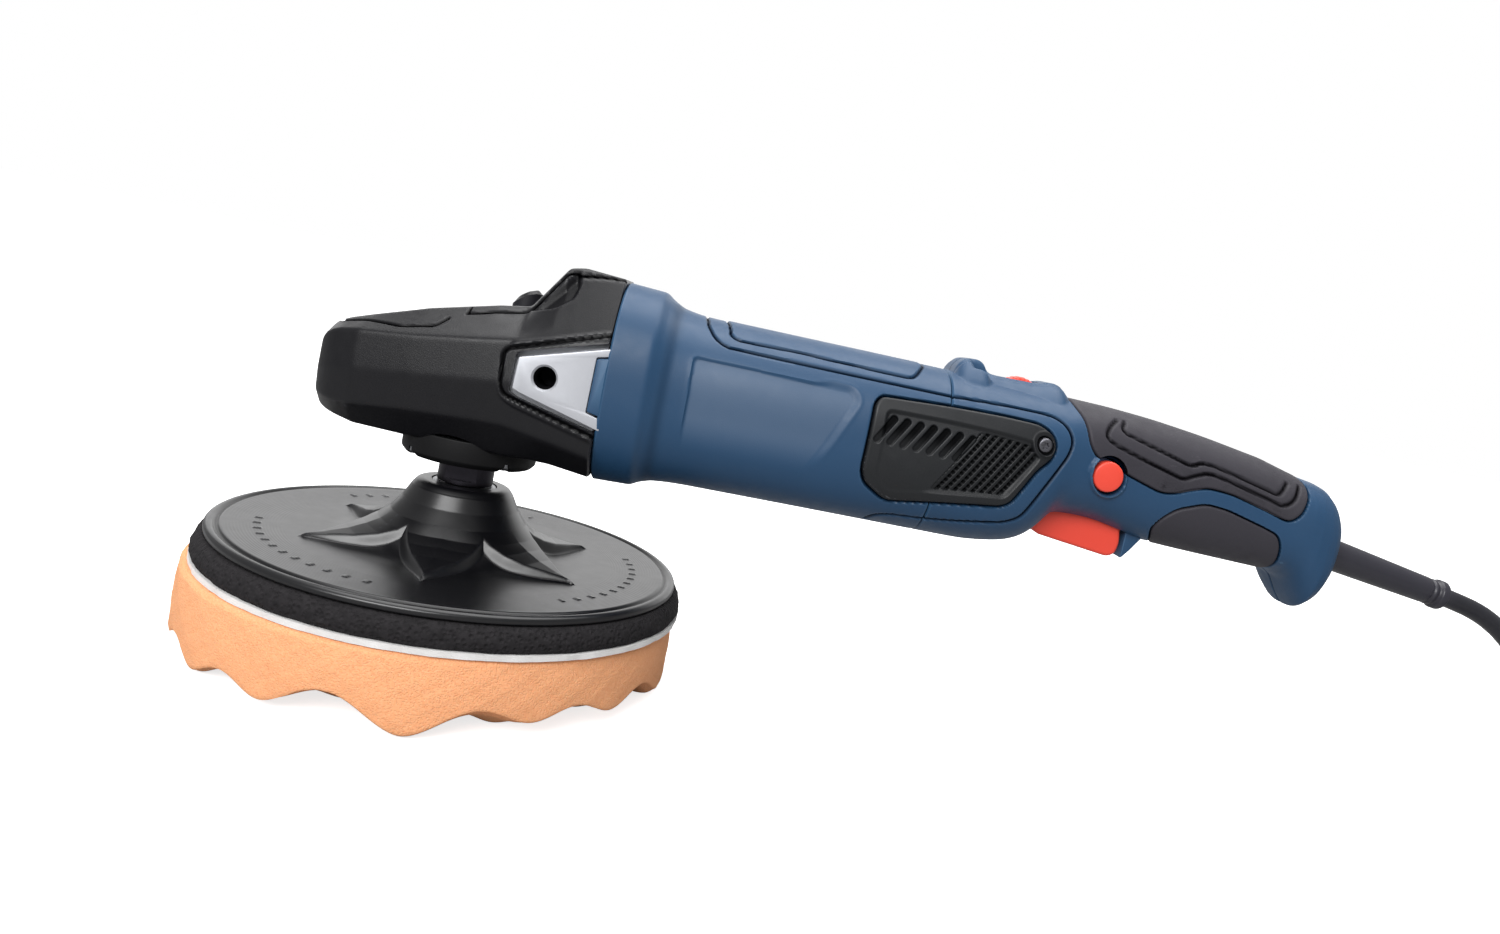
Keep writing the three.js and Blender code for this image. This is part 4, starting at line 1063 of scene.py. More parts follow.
def vent_relief(x, s):
    """Raised frame, sloping field with slanted slots, a fine mesh of bars and the screw's boss."""
    edge = depth_in(VENT_LOOP, x, s, 40)
    height = 0.35 + rim(edge, 1.3)
    field = eased_loop(to_surface(VENT_FIELD), 2.5)
    sunk = depth_in(field, x, s, 40)
    lower_left = soft(((s - s_at(x, 108)) - (x - 160) * 0.8) / 9 + 0.5)
    field_depth = 1.3 * (1 - lower_left * 0.85)
    height += -field_depth * (1 - soft(sunk / 1.6 + 0.6))
    shade = np.zeros(x.shape)
    first, last = (to_surface([p])[0] for p in SLOT_TOPS)
    across_dir = np.array([SLOT_LEAN[1], -SLOT_LEAN[0]])
    offset_x, offset_s = x - first[0], s - first[1]
    along = offset_x * SLOT_LEAN[0] + offset_s * SLOT_LEAN[1]
    across = offset_x * across_dir[0] + offset_s * across_dir[1]
    pitch = (last - first) @ across_dir / (SLOT_COUNT - 1)
    number = np.round(across / pitch)
    gap = np.abs(across - number * pitch)
    start = number * (((last - first) @ SLOT_LEAN) / (SLOT_COUNT - 1))
    past = np.maximum(np.maximum(start + 1 - along, along - start - SLOT_LENGTH), 0)
    slot = np.hypot(gap, past) + np.where((number < 0) | (number >= SLOT_COUNT), 10, 0)
    opened = 1 - soft((slot - 0.95) / 0.7)
    fade = 1 - 0.45 * soft((along - start - 4) / 7)
    height += -1.0 * opened * fade
    # Painted shade in the slots.
    shade = np.maximum(shade, opened * fade * 0.9)
    mesh = depth_in(eased_loop(to_surface(MESH_FIELD), 1.5), x, s, 40)
    in_mesh = 1 - soft(mesh / 0.6 + 0.5)
    bars = 0.5 + 0.5 * np.cos(TAU * (across - last @ across_dir) / 2.55)
    ties = 0.5 + 0.5 * np.cos(TAU * along / 1.9)
    holes = soft((1 - bars) * 1.5 - 0.35) * (0.55 + 0.45 * soft((1 - ties) * 1.6 - 0.3))
    height += -0.95 * in_mesh * holes - 0.25 * in_mesh
    # Painted shade in the mesh's holes and over its sunken field.
    shade = np.maximum(shade, in_mesh * (0.25 + 0.7 * holes))
    screw = np.hypot(x - VENT_SCREW[0], s - to_surface([VENT_SCREW])[0, 1])
    boss = 1 - soft((screw - 4.6) / 0.9)
    height = height * (1 - boss) + (0.55 + rim(edge, 0.8)) * boss
    well = 1 - soft((screw - 3.1) / 0.5)
    height += -1.6 * well
    ring = np.exp(-((screw - 4.2) / 0.8) ** 2)
    # Painted shade in the screw's well and in a ring at the edge of its boss.
    return height, np.maximum.reduce([shade * (1 - boss), well * 0.8, ring * 0.35])


def grip_relief(loop, lines, seam_side):
    def relief(x, s):
        edge = depth_in(loop, x, s, 40)
        if seam_side == "top":
            inland = -distance_to(loop[loop[:, 1] > 0.5], x, s, False, 40)
            edge = np.where(s < 3, np.minimum(edge, inland), edge)
        height = 0.25 + rim(edge, 0.9)
        shade = np.zeros(x.shape)
        # Painted shade in the grip's grooves.
        for path in lines:
            low, dark = groove(distance_to(path, x, s), 2.0, 0.75)
            height += low
            shade = np.maximum(shade, dark)
        height += -0.35 * (1 - soft(s / 0.8)) if seam_side == "top" else 0
        return height, shade
    return relief


def side_pieces(name, side):
    corners = to_surface([(143, 129), (208, 131), (197.5, 101), (146, 98)])
    inlay(f"{name}_vent_grille", side, VENT_LOOP, corners, (345, 221), vent_relief, VENT_DEPTH + 0.25,
          VENT_BLACK, "black_plastic", f"{name}_vent_cover")
    upper_screw, lower_screw = (((x, z), SCREW_OPENING) for x, z, _ in HANDLE_SCREWS[1:])
    left = side < 0
    corners = to_surface([(217.5, 146), (311, 146), (308.5, 115.5), (228, 124.5)])
    openings = [(LOCK_ON, BUTTON_OPENING)] if left else [upper_screw]
    inlay(f"{name}_grip_top", side, UPPER_LOOP, corners, (457, 173),
          grip_relief(UPPER_LOOP, GRIP_PATHS, "top"), GRIP_DEPTH, GRIP, "grip_rubber",
          f"{name}_upper_grip", "top", openings)
    corners = to_surface([(263.5, 110.5), (304.8, 109), (308.6, 92), (266, 92)])
    inlay(f"{name}_grip_palm", side, LOWER_LOOP, corners, (141, 61), grip_relief(LOWER_LOOP, [], None),
          GRIP_DEPTH, GRIP, "grip_rubber", f"{name}_lower_grip", "bottom", [] if left else [lower_screw])


# ---------------------------------------------------------------- head

EDGE_COUNTS = (30, 34, 34, 34, 32, 34)      # grid points on each edge of the cover's half section
# Grooves of the cover. The first three are (x, half width) from above, the last (x, z) from the side.
NOSE_LINE = [(-52, 6), (-49.5, 14), (-26.5, 23.6), (-14.3, 24.3), (-11.2, 20.7)]
CREST_LINE = [(-5.1, 18.5), (16.4, 18.8), (30.6, 18.3), (32, 19.5), (48.2, 17.6)]
CREST_TICK = [(-5.1, 18.5), (-5.1, 15)]
WINDOW_LINE = [(48.2, 132.2), (14, 121), (12.5, 119), (13.5, 108), (15.4, 105), (48.2, 96.6)]
WINDOW = [(16.5, 106.6), (17, 120.4), (49.5, 130.1), (49.5, 97.9), (19.5, 105)]
RECESS_FACET = [(16.4, 134.4), (30.6, 151.4), (33.2, 148.3), (32.1, 142.3), (26.1, 137.5)]


def cover_rings(spacing=0.5):
    """The cover's half sections as a dense grid from the top middle to the bottom middle."""
    rows = resampled(COVER_SECTIONS, spacing)
    crisp, loose = blurred(rows, 0.9 / spacing), blurred(rows, 3.2 / spacing)
    share = 1 - soft((rows[:, :1] + 50) / 12)
    rows = crisp * (1 - share) + loose * share
    rings = []
    for x, half, flat, top, shoulder, wide, lower, under in rows:
        corners = [
            (0, top), (flat, top), (half * 0.94, shoulder), (half, wide), (half * 0.95, lower),
            (half * 0.66, under), (0, under),
        ]
        ring = []
        for (y0, z0), (y1, z1), count in zip(corners, corners[1:], EDGE_COUNTS):
            t = np.arange(count) / count
            ring.extend(zip(y0 + (y1 - y0) * t, z0 + (z1 - z0) * t))
        ring.append(corners[-1])
        rings.append([(x, -y, z) for y, z in ring])
    return np.array(rings)


def round_rings(grid, spread):
    """Rounds the corners of the sections of a left-half grid, and keeps it symmetrical."""
    weights = bell(spread)
    size = len(weights) // 2
    before = mirrored(grid[:, size:0:-1])
    after = mirrored(grid[:, -2:-size - 2:-1])
    padded = np.concatenate([before, grid, after], 1)
    smooth = np.zeros_like(grid)
    for k, weight in enumerate(weights):
        smooth += weight * padded[:, k:k + grid.shape[1]]
    return smooth


def near_top_line(points, line, width, depth):
    """Height and shade of a groove on the cover's top, along a line seen from above."""
    distance = distance_to(eased(line, 1.5), points[..., 0], -points[..., 1])
    return groove(np.where(points[..., 2] > 112, distance, 1e3), width, depth)


def near_side_line(points, line, width, depth):
    """The same on the cover's side, along a line seen from the side."""
    distance = distance_to(eased(line, 1.5), points[..., 0], points[..., 2])
    return groove(np.where(np.abs(points[..., 1]) > 25, distance, 1e3), width, depth)


def head_cover():
    grid = round_rings(cover_rings(), 2.2)
    count = even(grid.shape[0], 4)
    pick = np.linspace(0, grid.shape[0] - 1, count)
    low = np.floor(pick).astype(int).clip(0, grid.shape[0] - 2)
    grid = grid[low] + (grid[low + 1] - grid[low]) * (pick - low)[:, None, None]
    normals = grid_normals(grid)
    height = np.zeros(grid.shape[:2])
    shade = np.zeros(grid.shape[:2])
    # Painted shade in the cover's grooves, here and in the window's groove below.
    for line, width, depth in ((NOSE_LINE, 1.7, 0.6), (CREST_LINE, 1.6, 0.55), (CREST_TICK, 1.6, 0.5)):
        cut, dark = near_top_line(grid, line, width, depth)
        height += cut
        shade = np.maximum(shade, dark)
    cut, dark = near_side_line(grid, WINDOW_LINE, 1.9, 0.7)
    height += cut
    shade = np.maximum(shade, dark * 0.9)
    facet = eased_loop(RECESS_FACET, 2)
    sunk = depth_in(facet, grid[..., 0], grid[..., 2], 30)
    on_flank = (np.abs(grid[..., 1]) > 14) & (grid[..., 2] > 125)
    dent = (1 - soft(sunk / 2.0 + 0.8)) * on_flank
    height += -2.4 * dent
    # Painted shade on the sunken facet of the flank.
    shade = np.maximum(shade, 0.35 * dent)
    window_loop = eased_loop(WINDOW, 1.2)
    window = depth_in(window_loop, grid[..., 0], grid[..., 2], 30)
    frame_rise = 0.5 * (1 - soft((window - 3.0) / 1.2)) * (np.abs(grid[..., 1]) > 25)
    height += frame_rise
    height += edge_ease(grid[..., 0], -200, 48.2, 0.8)
    outer = grid + normals * height[..., None]
    inner = grid - normals * WALL
    inner[-1, :, 0] = outer[-1, :, 0]
    inner[0] = inner[0].mean(0) * 0.05 + inner[0] * 0.95 + np.array([WALL, 0, 0])
    left, right = (outer, inner), (mirrored(outer), mirrored(inner))
    around = lambda k: np.concatenate([left[k], right[k][:, -2:0:-1]], 1)
    shade = np.concatenate([shade, shade[:, -2:0:-1]], 1)
    columns = around(0).shape[1]
    trim = 4 if columns % 4 == 0 else 2
    piece = thick_patch("head_cover_shell", around(0), around(1), COVER_BLACK, True, trim,
                        {"painted_shade": shade}, 34, capped=True)
    combine(piece, prism("cut", window_loop, -60, 60, COVER_BLACK, 0), "DIFFERENCE")
    drill(piece, FLANGE_RADIUS + GAP, 70, 86, segments=96)
    x, y, radius = LOCK_CAP
    drill(piece, radius + 0.5, 128, 156, centre=(x, y, 0), segments=48)
    finish_surface(piece, COVER_BLACK, 34)
    settle(piece, "root", "black_plastic", "head_cover")


def gear_housing():
    """The die-cast housing: a casting under the cover and a machined boss in each window."""
    grid = round_rings(cover_rings(1.0), 2.2)[:, ::3]
    casting = grid - grid_normals(grid) * (WALL + GAP + 0.4)
    casting = casting[(grid[:, 0, 0] > -34) & (grid[:, 0, 0] < 47.6)]
    around = np.concatenate([casting, mirrored(casting)[:, -2:0:-1]], 1)
    rows, columns = around.shape[:2]
    number = np.arange(rows * columns).reshape(rows, columns)
    ends = [number[0][None, :], number[-1][None, :]]
    faces = [grid_faces(rows, columns, True), *ends]
    piece = make("gear_housing_casting", around.reshape(-1, 3), faces, CAST)
    below = [(-60, 60), (80, 60), (80, 84.6), (-60, 84.6)]
    combine(piece, prism("cut", below, -60, 60, CAST, 0), "DIFFERENCE")
    boss_outline = eased_loop([(18, 107.9), (18.5, 118.9), (50.3, 128.2), (50.4, 125.4), (44.6, 124.1),
                               (44.2, 104.6), (50.4, 102.9), (49.8, 99), (20.9, 106.8)], 0.5)
    combine(piece, prism("boss", boss_outline, -BOSS_FACE_Y, BOSS_FACE_Y, CAST, 0.45), "UNION")
    drill(piece, 19.3, 80, 110.5)
    drill(piece, 9, 109, 129)
    drill(piece, 11, 0, 60, "x", (0, 0, MOTOR_AXIS))
    drill(piece, 20, 42.5, 60, "x", (0, 0, MOTOR_AXIS))
    for (x, y, radius), low, high in ((LOCK_PIN, 100, 132), (LOCK_CAP, 129.5, 150)):
        drill(piece, radius + 0.4, low, high, centre=(x, y, 0), segments=48)
    for side in (-1, 1):
        face, deep = side * BOSS_FACE_Y, side * (BOSS_FACE_Y - 16)
        profile = [(0, deep), (SOCKET_RADIUS, deep), (SOCKET_RADIUS, face - side * 0.7),
                   (SOCKET_RADIUS + 1.3, face + side * 0.6), (0, face + side * 0.6)]
        combine(piece, lathe("cut", profile, CAST, "y", (SOCKET[0], 0, SOCKET[1]), 64), "DIFFERENCE")
    finish_surface(piece, CAST, 30)
    settle(piece, "root", "bare_aluminium", "gear_housing")
    for side in (-1, 1):
        low = side * (BOSS_FACE_Y - 15.6)
        rings = [(0, low), (SOCKET_RADIUS + 0.02, low), (SOCKET_RADIUS + 0.02, low + side * 14.5)]
        for k in range(13, 0, -1):
            at = low + side * k
            rings += [(SOCKET_RADIUS - 0.05, at + side * 0.9), (SOCKET_RADIUS - 0.55, at + side * 0.5),
                      (SOCKET_RADIUS - 0.05, at + side * 0.1)]
        rings += [(SOCKET_RADIUS - 0.6, low + side * 0.8), (0, low + side * 0.8)]
        thread = lathe(f"socket_thread_{'left' if side < 0 else 'right'}", rings, THREAD, "y",
                       (SOCKET[0], 0, SOCKET[1]), 48)
        settle(thread, "root", "steel")


def bearing_flange():
    profile = eased([(10.9, FLANGE_LOW), (23.4, FLANGE_LOW), (25, 76.4), (25, 84.3), (19, 84.3), (19, 94),
                     (16.5, 94), (16.5, 82), (10.9, 82), (10.9, FLANGE_LOW + 0.01)], 0.5, 3)
    piece = lathe("bearing_flange_ring", profile, FLANGE_BLACK)
    seat = FLANGE_LOW + 3.4
    screw_hole = [(0, 70), (3, 70), (3, seat), (1.9, seat), (1.9, 90), (0, 90)]
    for x, y in flange_spots():
        cutter = lathe("cut", screw_hole, FLANGE_BLACK, centre=(x, y, 0), segments=32)
        combine(piece, cutter, "DIFFERENCE")
    finish_surface(piece, FLANGE_BLACK, 34)
    settle(piece, "root", "black_plastic", "bearing_flange")


def flange_spots():
    reach = FLANGE_SCREW_CIRCLE / math.sqrt(2)
    return [(-reach, -reach), (reach, -reach), (reach, reach), (-reach, reach)]


def torx_screw(name, head, height, shank, length, place, direction, material, node):
    """A pan-head screw with a six-lobed recess. Its head's face is at place and it points along direction."""
    angle = np.arange(96) * TAU / 96
    lobes = head * (0.42 + 0.07 * np.cos(6 * angle))
    profile = eased([(head, height), (head, height * 0.45), (head * 0.8, 0.06), (head * 0.6, 0)], 0.3, 3)
    outline = [(0, height * 0.75), (lobes, height * 0.7), (lobes, 0.05), *profile[::-1], (shank, height)]
    threads = int(length / 1.2)
    for k in range(threads):
        for share, radius in ((0.1, shank), (0.5, shank * 0.8), (0.9, shank)):
            outline.append((radius, height + (k + share) * length / threads))
    outline.append((0, height + length))
    rings = np.array([circle(angle, radius, z) for radius, z in outline])
    turn = np.array(Vector((0, 0, 1)).rotation_difference(Vector(direction)).to_matrix())
    piece = from_rings(name, rings @ turn.T + np.array(place), material, 30)
    settle(piece, "root", "steel", node)


def screws():
    for i, (x, y) in enumerate(flange_spots()):
        torx_screw(f"flange_torx_{i + 1}", 2.7, 2.4, 1.6, 14, (x, y, FLANGE_LOW + 0.7), (0, 0, 1), STEEL,
                   f"flange_screw_{i + 1}")
    for name, side in (("left", -1), ("right", 1)):
        place = (VENT_SCREW[0], side * (VENT_SCREW_Y + 2), VENT_SCREW[1])
        torx_screw(f"{name}_vent_torx", 2.8, 2, 1.6, 9, place, (0, -side, 0), SCREW_STEEL,
                   f"{name}_vent_screw")
    for i, (x, z, head_y) in enumerate(HANDLE_SCREWS):
        torx_screw(f"handle_torx_{i + 1}", 3.7, 2.6, 1.7, head_y + 5, (x, head_y + 2.9, z), (0, -1, 0), STEEL,
                   f"handle_screw_{i + 1}")


def spindle_lock_button():
    """A round cap that follows the slope of the head and rounds down to its rim, and its pin."""
    cx, cy, radius = LOCK_CAP
    angle = np.arange(64) * TAU / 64
    rings = []
    for share in (0.0, 0.15, 0.3, 0.45, 0.6, 0.7, 0.8, 0.9, 0.96, 1.0):
        ring = circle(angle, radius * share, 0, (cx, cy))
        slope = np.interp(ring[:, 0], [3, 7.2, 10, 13, 16], [136.6, 139.8, 141.6, 142.8, 143])
        ring[:, 2] = slope - 0.8 - 1.6 * soft((share - 0.45) / 0.55) ** 2
        rings.append(ring)
    rings += [circle(angle, radius, LOCK_BASE, (cx, cy)), circle(angle, 0, LOCK_BASE, (cx, cy))]
    piece = from_rings("spindle_lock_cap", rings, COVER_BLACK, 34)
    x, y, pin = LOCK_PIN
    low, high = LOCK_PIN_END, LOCK_BASE + 0.3
    outline = eased([(0, low), (pin, low), (pin, high), (0, high)], 0.4, 3)
    merge(piece, lathe("pin", outline, COVER_BLACK, centre=(x, y, 0), segments=32))
    finish_surface(piece, COVER_BLACK, 34)
    settle(piece, "spindle_lock_button", "black_plastic", "spindle_lock_button")


# ---------------------------------------------------------------- spindle, plate and pad


def spindle():
    profile = eased([
        (0, 47), (6, 47), (7, 48), (7, 64.6), (7.6, 65.3), (10.4, 65.3), (10.4, 78.6), (8.4, 79.4),
        (8.4, 96.5), (8, 97), (8, 108), (5.7, 109), (5.7, 127), (4.8, 128), (0, 128),
    ], 0.35, 3)
    piece = lathe("spindle_shaft", profile, DARK_STEEL)
    for side in (-1, 1):
        low, high = sorted((8.6 * side, 12 * side))
        flat = [(-12, 67), (12, 67), (12, 74), (-12, 74)]
        combine(piece, prism("cut", flat, low, high, DARK_STEEL, 0), "DIFFERENCE")
    finish_surface(piece, DARK_STEEL, 30)
    settle(piece, "spindle_group", "steel", "spindle")


PLATE_PROFILE = [
    (HUB_BORE, HUB_TOP), (15.6, HUB_TOP), (17.2, 64.6), (18.8, 62.6), (21.6, 57), (25.4, 51), (29.4, 45.8),
    (33, 42.6), (37, 40.8), (44, 40.2), (80.2, 41.25), (81.4, 41.3), (82.2, 40.55), (83.2, 40.55),
    (84, 41.4), (85.4, 41.4), (PLATE_RADIUS, 40.5), (PLATE_RADIUS, PLATE_LOW), (84, PLATE_LOW),
]
STAR_POINTS = 6
STAR_TURN = math.radians(-87)
STAR_TIP = 56
STAR_VALLEY = 28.5
# Height of the star-shaped skirt round the hub, by radius.
SKIRT_RADII = (18.8, 21.6, 25.4, 29.4, 34, 40, 48, 56, 60)
SKIRT_HEIGHTS = (62.6, 57.4, 52.2, 48.6, 46, 43.8, 42, 40.7, 40)


def backing_plate():
    """A polar grid: hub, flared foot with a six-pointed skirt, flat plate with raised ticks, grooved rim."""
    columns = 720
    profile = along_path(eased(PLATE_PROFILE, 4, 7), 300)
    angle = np.arange(columns) * TAU / columns
    radius = np.repeat(profile[:, :1], columns, 1)
    height = np.repeat(profile[:, 1:], columns, 1)
    sector = TAU / STAR_POINTS
    share = np.abs((angle - STAR_TURN + sector / 2) % sector - sector / 2) / (sector / 2)
    outline = STAR_TIP - (STAR_TIP - STAR_VALLEY) * share ** 0.62
    crest = 0.9 * (1 - share) ** 2 * soft((radius - 24) / 12)
    skirt = np.interp(radius, SKIRT_RADII, SKIRT_HEIGHTS) + crest
    within = soft((outline - radius) / 3.4 + 0.5)
    on_top = (np.arange(len(profile)) < 250)[:, None]
    height += np.maximum(skirt - height, 0) * within * on_top
    tick = np.abs((angle * 60 / TAU) % 1 - 0.5)
    ticks = (1 - soft((np.abs(radius - 69.5) - 1.1) / 0.5)) * (1 - soft((tick - 0.1) / 0.05))
    groups = np.cos(angle * 3 + 0.6) > -0.2
    swirl = 0.03 * np.cos(radius * TAU / 1.1)
    height += (0.3 * ticks * groups * (radius < 75) + swirl) * on_plate(radius)
    bore = [circle(angle, r, 45.7) for r in (0, HUB_BORE)]
    under = [circle(angle, r, PLATE_LOW) for r in (70, 16, 0)]
    rings = np.concatenate([bore, circle(angle, radius, height), under])
    shades = np.zeros(rings.shape[:2])
    # Painted shade in the rim's groove.
    shades[len(bore):-len(under)] = 0.8 * np.exp(-((radius - 82.6) / 0.8) ** 2)
    piece = from_rings("backing_plate_disc", rings, PLATE_BLACK, 40, {"painted_shade": shades})
    settle(piece, "spindle_group", "gloss_black", "backing_plate")


def on_plate(radius):
    return soft((radius - 60) / 2) * (1 - soft((radius - 79) / 1.5))


def plate_insert():
    profile = eased([(7.3, 46), (12, 46), (12, 64.7), (10.8, 64.9), (7.3, 64.7), (7.3, 46.01)], 0.4, 3)
    piece = lathe("plate_insert_bush", profile, STEEL)
    settle(piece, "spindle_group", "steel", "plate_insert")


def crumple(angle, height, scale, amount):
    """A smooth, repeatable unevenness of foam, as a sum of waves."""
    waves = ((23, 0.7, 0.4), (41, -1.1, 1.7), (67, 1.9, 2.9), (97, -2.7, 4.1))
    total = np.zeros(np.broadcast(angle, height).shape)
    for k, (turns, rise, phase) in enumerate(waves):
        total = total + np.sin(turns * angle + rise * height * scale + phase) / (k + 1.5)
    return total * amount


def foam_layer(name, profile, material, slot, node, rough, columns=480, count=80):
    """A disc of foam with softly uneven sides, from a profile that runs from middle to middle."""
    path = along_path(eased(profile, 0.8, 4), count)
    angle = np.arange(columns) * TAU / columns
    uneven = crumple(angle[None, :], path[:, 1:], 1.0, rough) * soft((path[:, :1] - 80) / 6)
    radius = path[:, :1] + uneven
    radius[0] = radius[-1] = 0
    piece = from_rings(name, circle(angle, radius, path[:, 1:]), material, 50)
    settle(piece, "spindle_group", slot, node)


WAFFLE_PITCH = 48.3
WAFFLE_TURN = math.radians(2.9)
WAFFLE_SHIFT = (-16.5, -15.6)
WAFFLE_DEPTH = 10.8
PAD_SHIFT = (-2.2, 0, 0)             # a hook-and-loop pad never sits quite central


def waffle(x, y):
    """Height of the pad's convoluted face: peaks at 0 and valleys at the waffle's depth."""
    u = x * math.cos(WAFFLE_TURN) + y * math.sin(WAFFLE_TURN) - WAFFLE_SHIFT[0]
    v = -x * math.sin(WAFFLE_TURN) + y * math.cos(WAFFLE_TURN) - WAFFLE_SHIFT[1]
    wave = np.cos(TAU * u / WAFFLE_PITCH) * np.cos(TAU * v / WAFFLE_PITCH)
    return WAFFLE_DEPTH * ((0.54 - 0.5 * wave) ** 0.84 - 0.04 ** 0.84)


def foam_pad():
    """The orange pad: waffle face, scalloped edge and slightly flared side."""
    columns = 720
    angle = np.arange(columns) * TAU / columns
    radii = np.concatenate([np.linspace(0, 85, 120), np.linspace(85.6, 90.6, 14)])
    face_r = np.repeat(radii[:, None], columns, 1)
    x, y = face_r * np.cos(angle), face_r * np.sin(angle)
    z = waffle(x + PAD_SHIFT[0], y) + 1.2 * soft((face_r - 86) / 4.6) ** 2
    face = circle(angle, face_r, z + crumple(angle * 0.5, face_r, 0.4, 0.05))
    share = np.linspace(0, 1, 34)[1:, None]
    side_z = z[-1] + (PAD_TOP - z[-1]) * share
    bulge = 0.5 * np.sin(share * math.pi).clip(0) ** 0.8 - 0.9 * share
    side_r = 90.9 + bulge - 0.9 * soft((share - 0.93) / 0.07) + crumple(angle, side_z, 0.6, 0.12)
    side = circle(angle, side_r, side_z)
    cap = circle(angle, np.linspace(86, 0, 5)[:, None], PAD_TOP)
    rings = np.concatenate([face, side, cap]) + np.array(PAD_SHIFT)
    deep = np.zeros(rings.shape[:2])
    # Painted shade in the waffle's valleys.
    deep[:len(face)] = soft(z / WAFFLE_DEPTH - 0.25) * 0.4
    piece = from_rings("waffle_foam_pad", rings, PAD_FOAM, 60, {"painted_shade": deep})
    settle(piece, "spindle_group", "pad_foam", "polishing_pad")


def pad_stack():
    foam_pad()
    loops = [(0, 29.95), (89.6, 29.95), (90.4, 29.4), (90.2, 27.7), (0, 27.7)]
    foam_layer("loop_disc", loops, FLEECE, "fleece", "loop_layer", 0.16)
    cushion = [(0, 38.1), (87.2, 38.1), (88.6, 36.6), (90.2, 31.5), (89.8, 30.2), (0, 30.2)]
    foam_layer("cushion_foam_ring", cushion, CUSHION_FOAM, "cushion_foam", "cushion_layer", 0.2)


# ---------------------------------------------------------------- controls


def trigger():
    outline = [(215.6, 92.6), (218.6, 90.2), (247.6, 86.8), (250.4, 88.4), (251.2, 92.8), (249.6, 101),
               (224, 102.8), (219.4, 99.4), (216.2, 95.4)]
    piece = prism("trigger_paddle", eased_loop(outline, 1.6, 5), -9.5, 9.5, RED, 1.5, segments=5)
    settle(piece, "trigger", "red_plastic", "trigger")


def lock_on_button():
    face, radius = -LOCK_ON_FACE, LOCK_ON_RADIUS
    profile = [(0, face - 0.15), (3.4, face), (radius - 0.25, face + 0.25), (radius, face + 1.4),
               (radius, -19), (2.5, -19), (2.5, -14.4), (0, -14.4)]
    piece = lathe("lock_on_cap", eased(profile, 0.7, 4), RED, "y", (LOCK_ON[0], 0, LOCK_ON[1]))
    settle(piece, "lock_on_button", "red_plastic", "lock_on_button")


def speed_wheel():
    """A knurled thumb wheel with its hub hole."""
    def knurl(angle):
        return -0.03 * (0.5 + 0.5 * np.cos(angle * 30)) ** 2

    profile = eased([(DIAL_BORE, -3), (DIAL_RADIUS - 0.8, -3), (DIAL_RADIUS, -2.3), (DIAL_RADIUS, 2.3),
                     (DIAL_RADIUS - 0.8, 3), (DIAL_BORE, 3), (DIAL_BORE, -2.99)], 0.4, 3)
    piece = lathe("speed_wheel_knurled", profile, RED, "y", (DIAL[0], 0, DIAL[1]), 360, 30, knurl)
    settle(piece, "speed_wheel", "red_plastic", "speed_wheel")


# ---------------------------------------------------------------- cord

CORD_ROUTE = [
    (388.6, 0, 96.5), (396, 0, 95.1), (404, 0, 93.2), (412, 0, 90), (420, 0, 85.2), (427, 0, 79),
    (432.6, 0, 71.6), (436.8, 0, 63.4), (439.8, 0, 54.6), (442.4, 0, 45.8), (445.4, 0, 37), (449.4, 0, 28.6),
    (454.6, 0, 21), (461, 0.1, 14.6), (468.4, 0.4, 9.4), (476.4, 0.9, 5.8), (485, 1.6, 4), (490.2, 2, 3.8),
]
PLUG_END = (586.6, 29.3, 18)
CORD_TAIL = [
    (549.6, 2.25, 26.2), (560, 2.4, 24.6), (570, 3.6, 21.4), (578, 7.4, 18.9), (583.4, 13.6, 18),
    (586, 21.4, 18), PLUG_END,
]
COIL_CENTRE = (520, -50)
COIL_COLUMNS = (52.25, 44.75, 37.25, 29.75)
CORD_STEP = 2 * CORD_RADIUS
SHIFT_TURN = 100                      # degrees over which a turn moves to its next place
# Where each move of the winding starts, in degrees from the coil's entry, and its new column and layer.
COIL_MOVES = [
    (360, 1, 0), (720, 2, 0), (1080, 3, 0), (1340, 3, 1), (1600, 2, 1), (1960, 1, 1), (2320, 0, 1),
    (2580, 0, 2), (2840, 1, 2), (3200, 2, 2), (3560, 3, 2), (3820, 3, 3), (4080, 2, 3), (4440, 1, 3),
    (4800, 0, 3),
]
COIL_END = 5040
COIL_STEP = 20


def coil_points():
    """The coil's turns, from the floor's outer turn in, up and out again to the top's outer turn."""
    degrees = np.arange(0, COIL_END + 1, COIL_STEP)
    radius = np.full(len(degrees), COIL_COLUMNS[0])
    layer = np.zeros(len(degrees))
    column_before, layer_before = 0, 0
    for start, column, level in COIL_MOVES:
        share = soft((degrees - start) / SHIFT_TURN)
        radius += (COIL_COLUMNS[column] - COIL_COLUMNS[column_before]) * share
        layer += (level - layer_before) * share
        column_before, layer_before = column, level
    points = circle(np.radians(90 - degrees), radius, CORD_RADIUS + layer * CORD_STEP, COIL_CENTRE)
    return [tuple(point) for point in points]


def cord_line():
    return [*CORD_ROUTE, (503, 2.2, CORD_RADIUS), *coil_points(), *CORD_TAIL]


def line_length(points):
    return float(travelled(np.array(points))[-1]) * MM


def make_cord():
    points = cord_line()
    curve = bpy.data.curves.new("mains_cord", "CURVE")
    curve.dimensions = "3D"
    curve.bevel_depth = CORD_RADIUS * MM
    curve.bevel_resolution = 5
    curve.resolution_u = 3
    curve.use_fill_caps = True
    spline = curve.splines.new("BEZIER")
    spline.bezier_points.add(len(points) - 1)
    for target, point in zip(spline.bezier_points, points):
        target.co = Vector(point) * MM
        target.handle_left_type = target.handle_right_type = "AUTO"
    curve.materials.append(CORD)
    cord = bpy.data.objects.new("mains_cord", curve)
    bpy.context.scene.collection.objects.link(cord)
    settle(cord, "root", "cord_rubber", "cord_tube", "cord_coil", "cord_tail")
    return cord


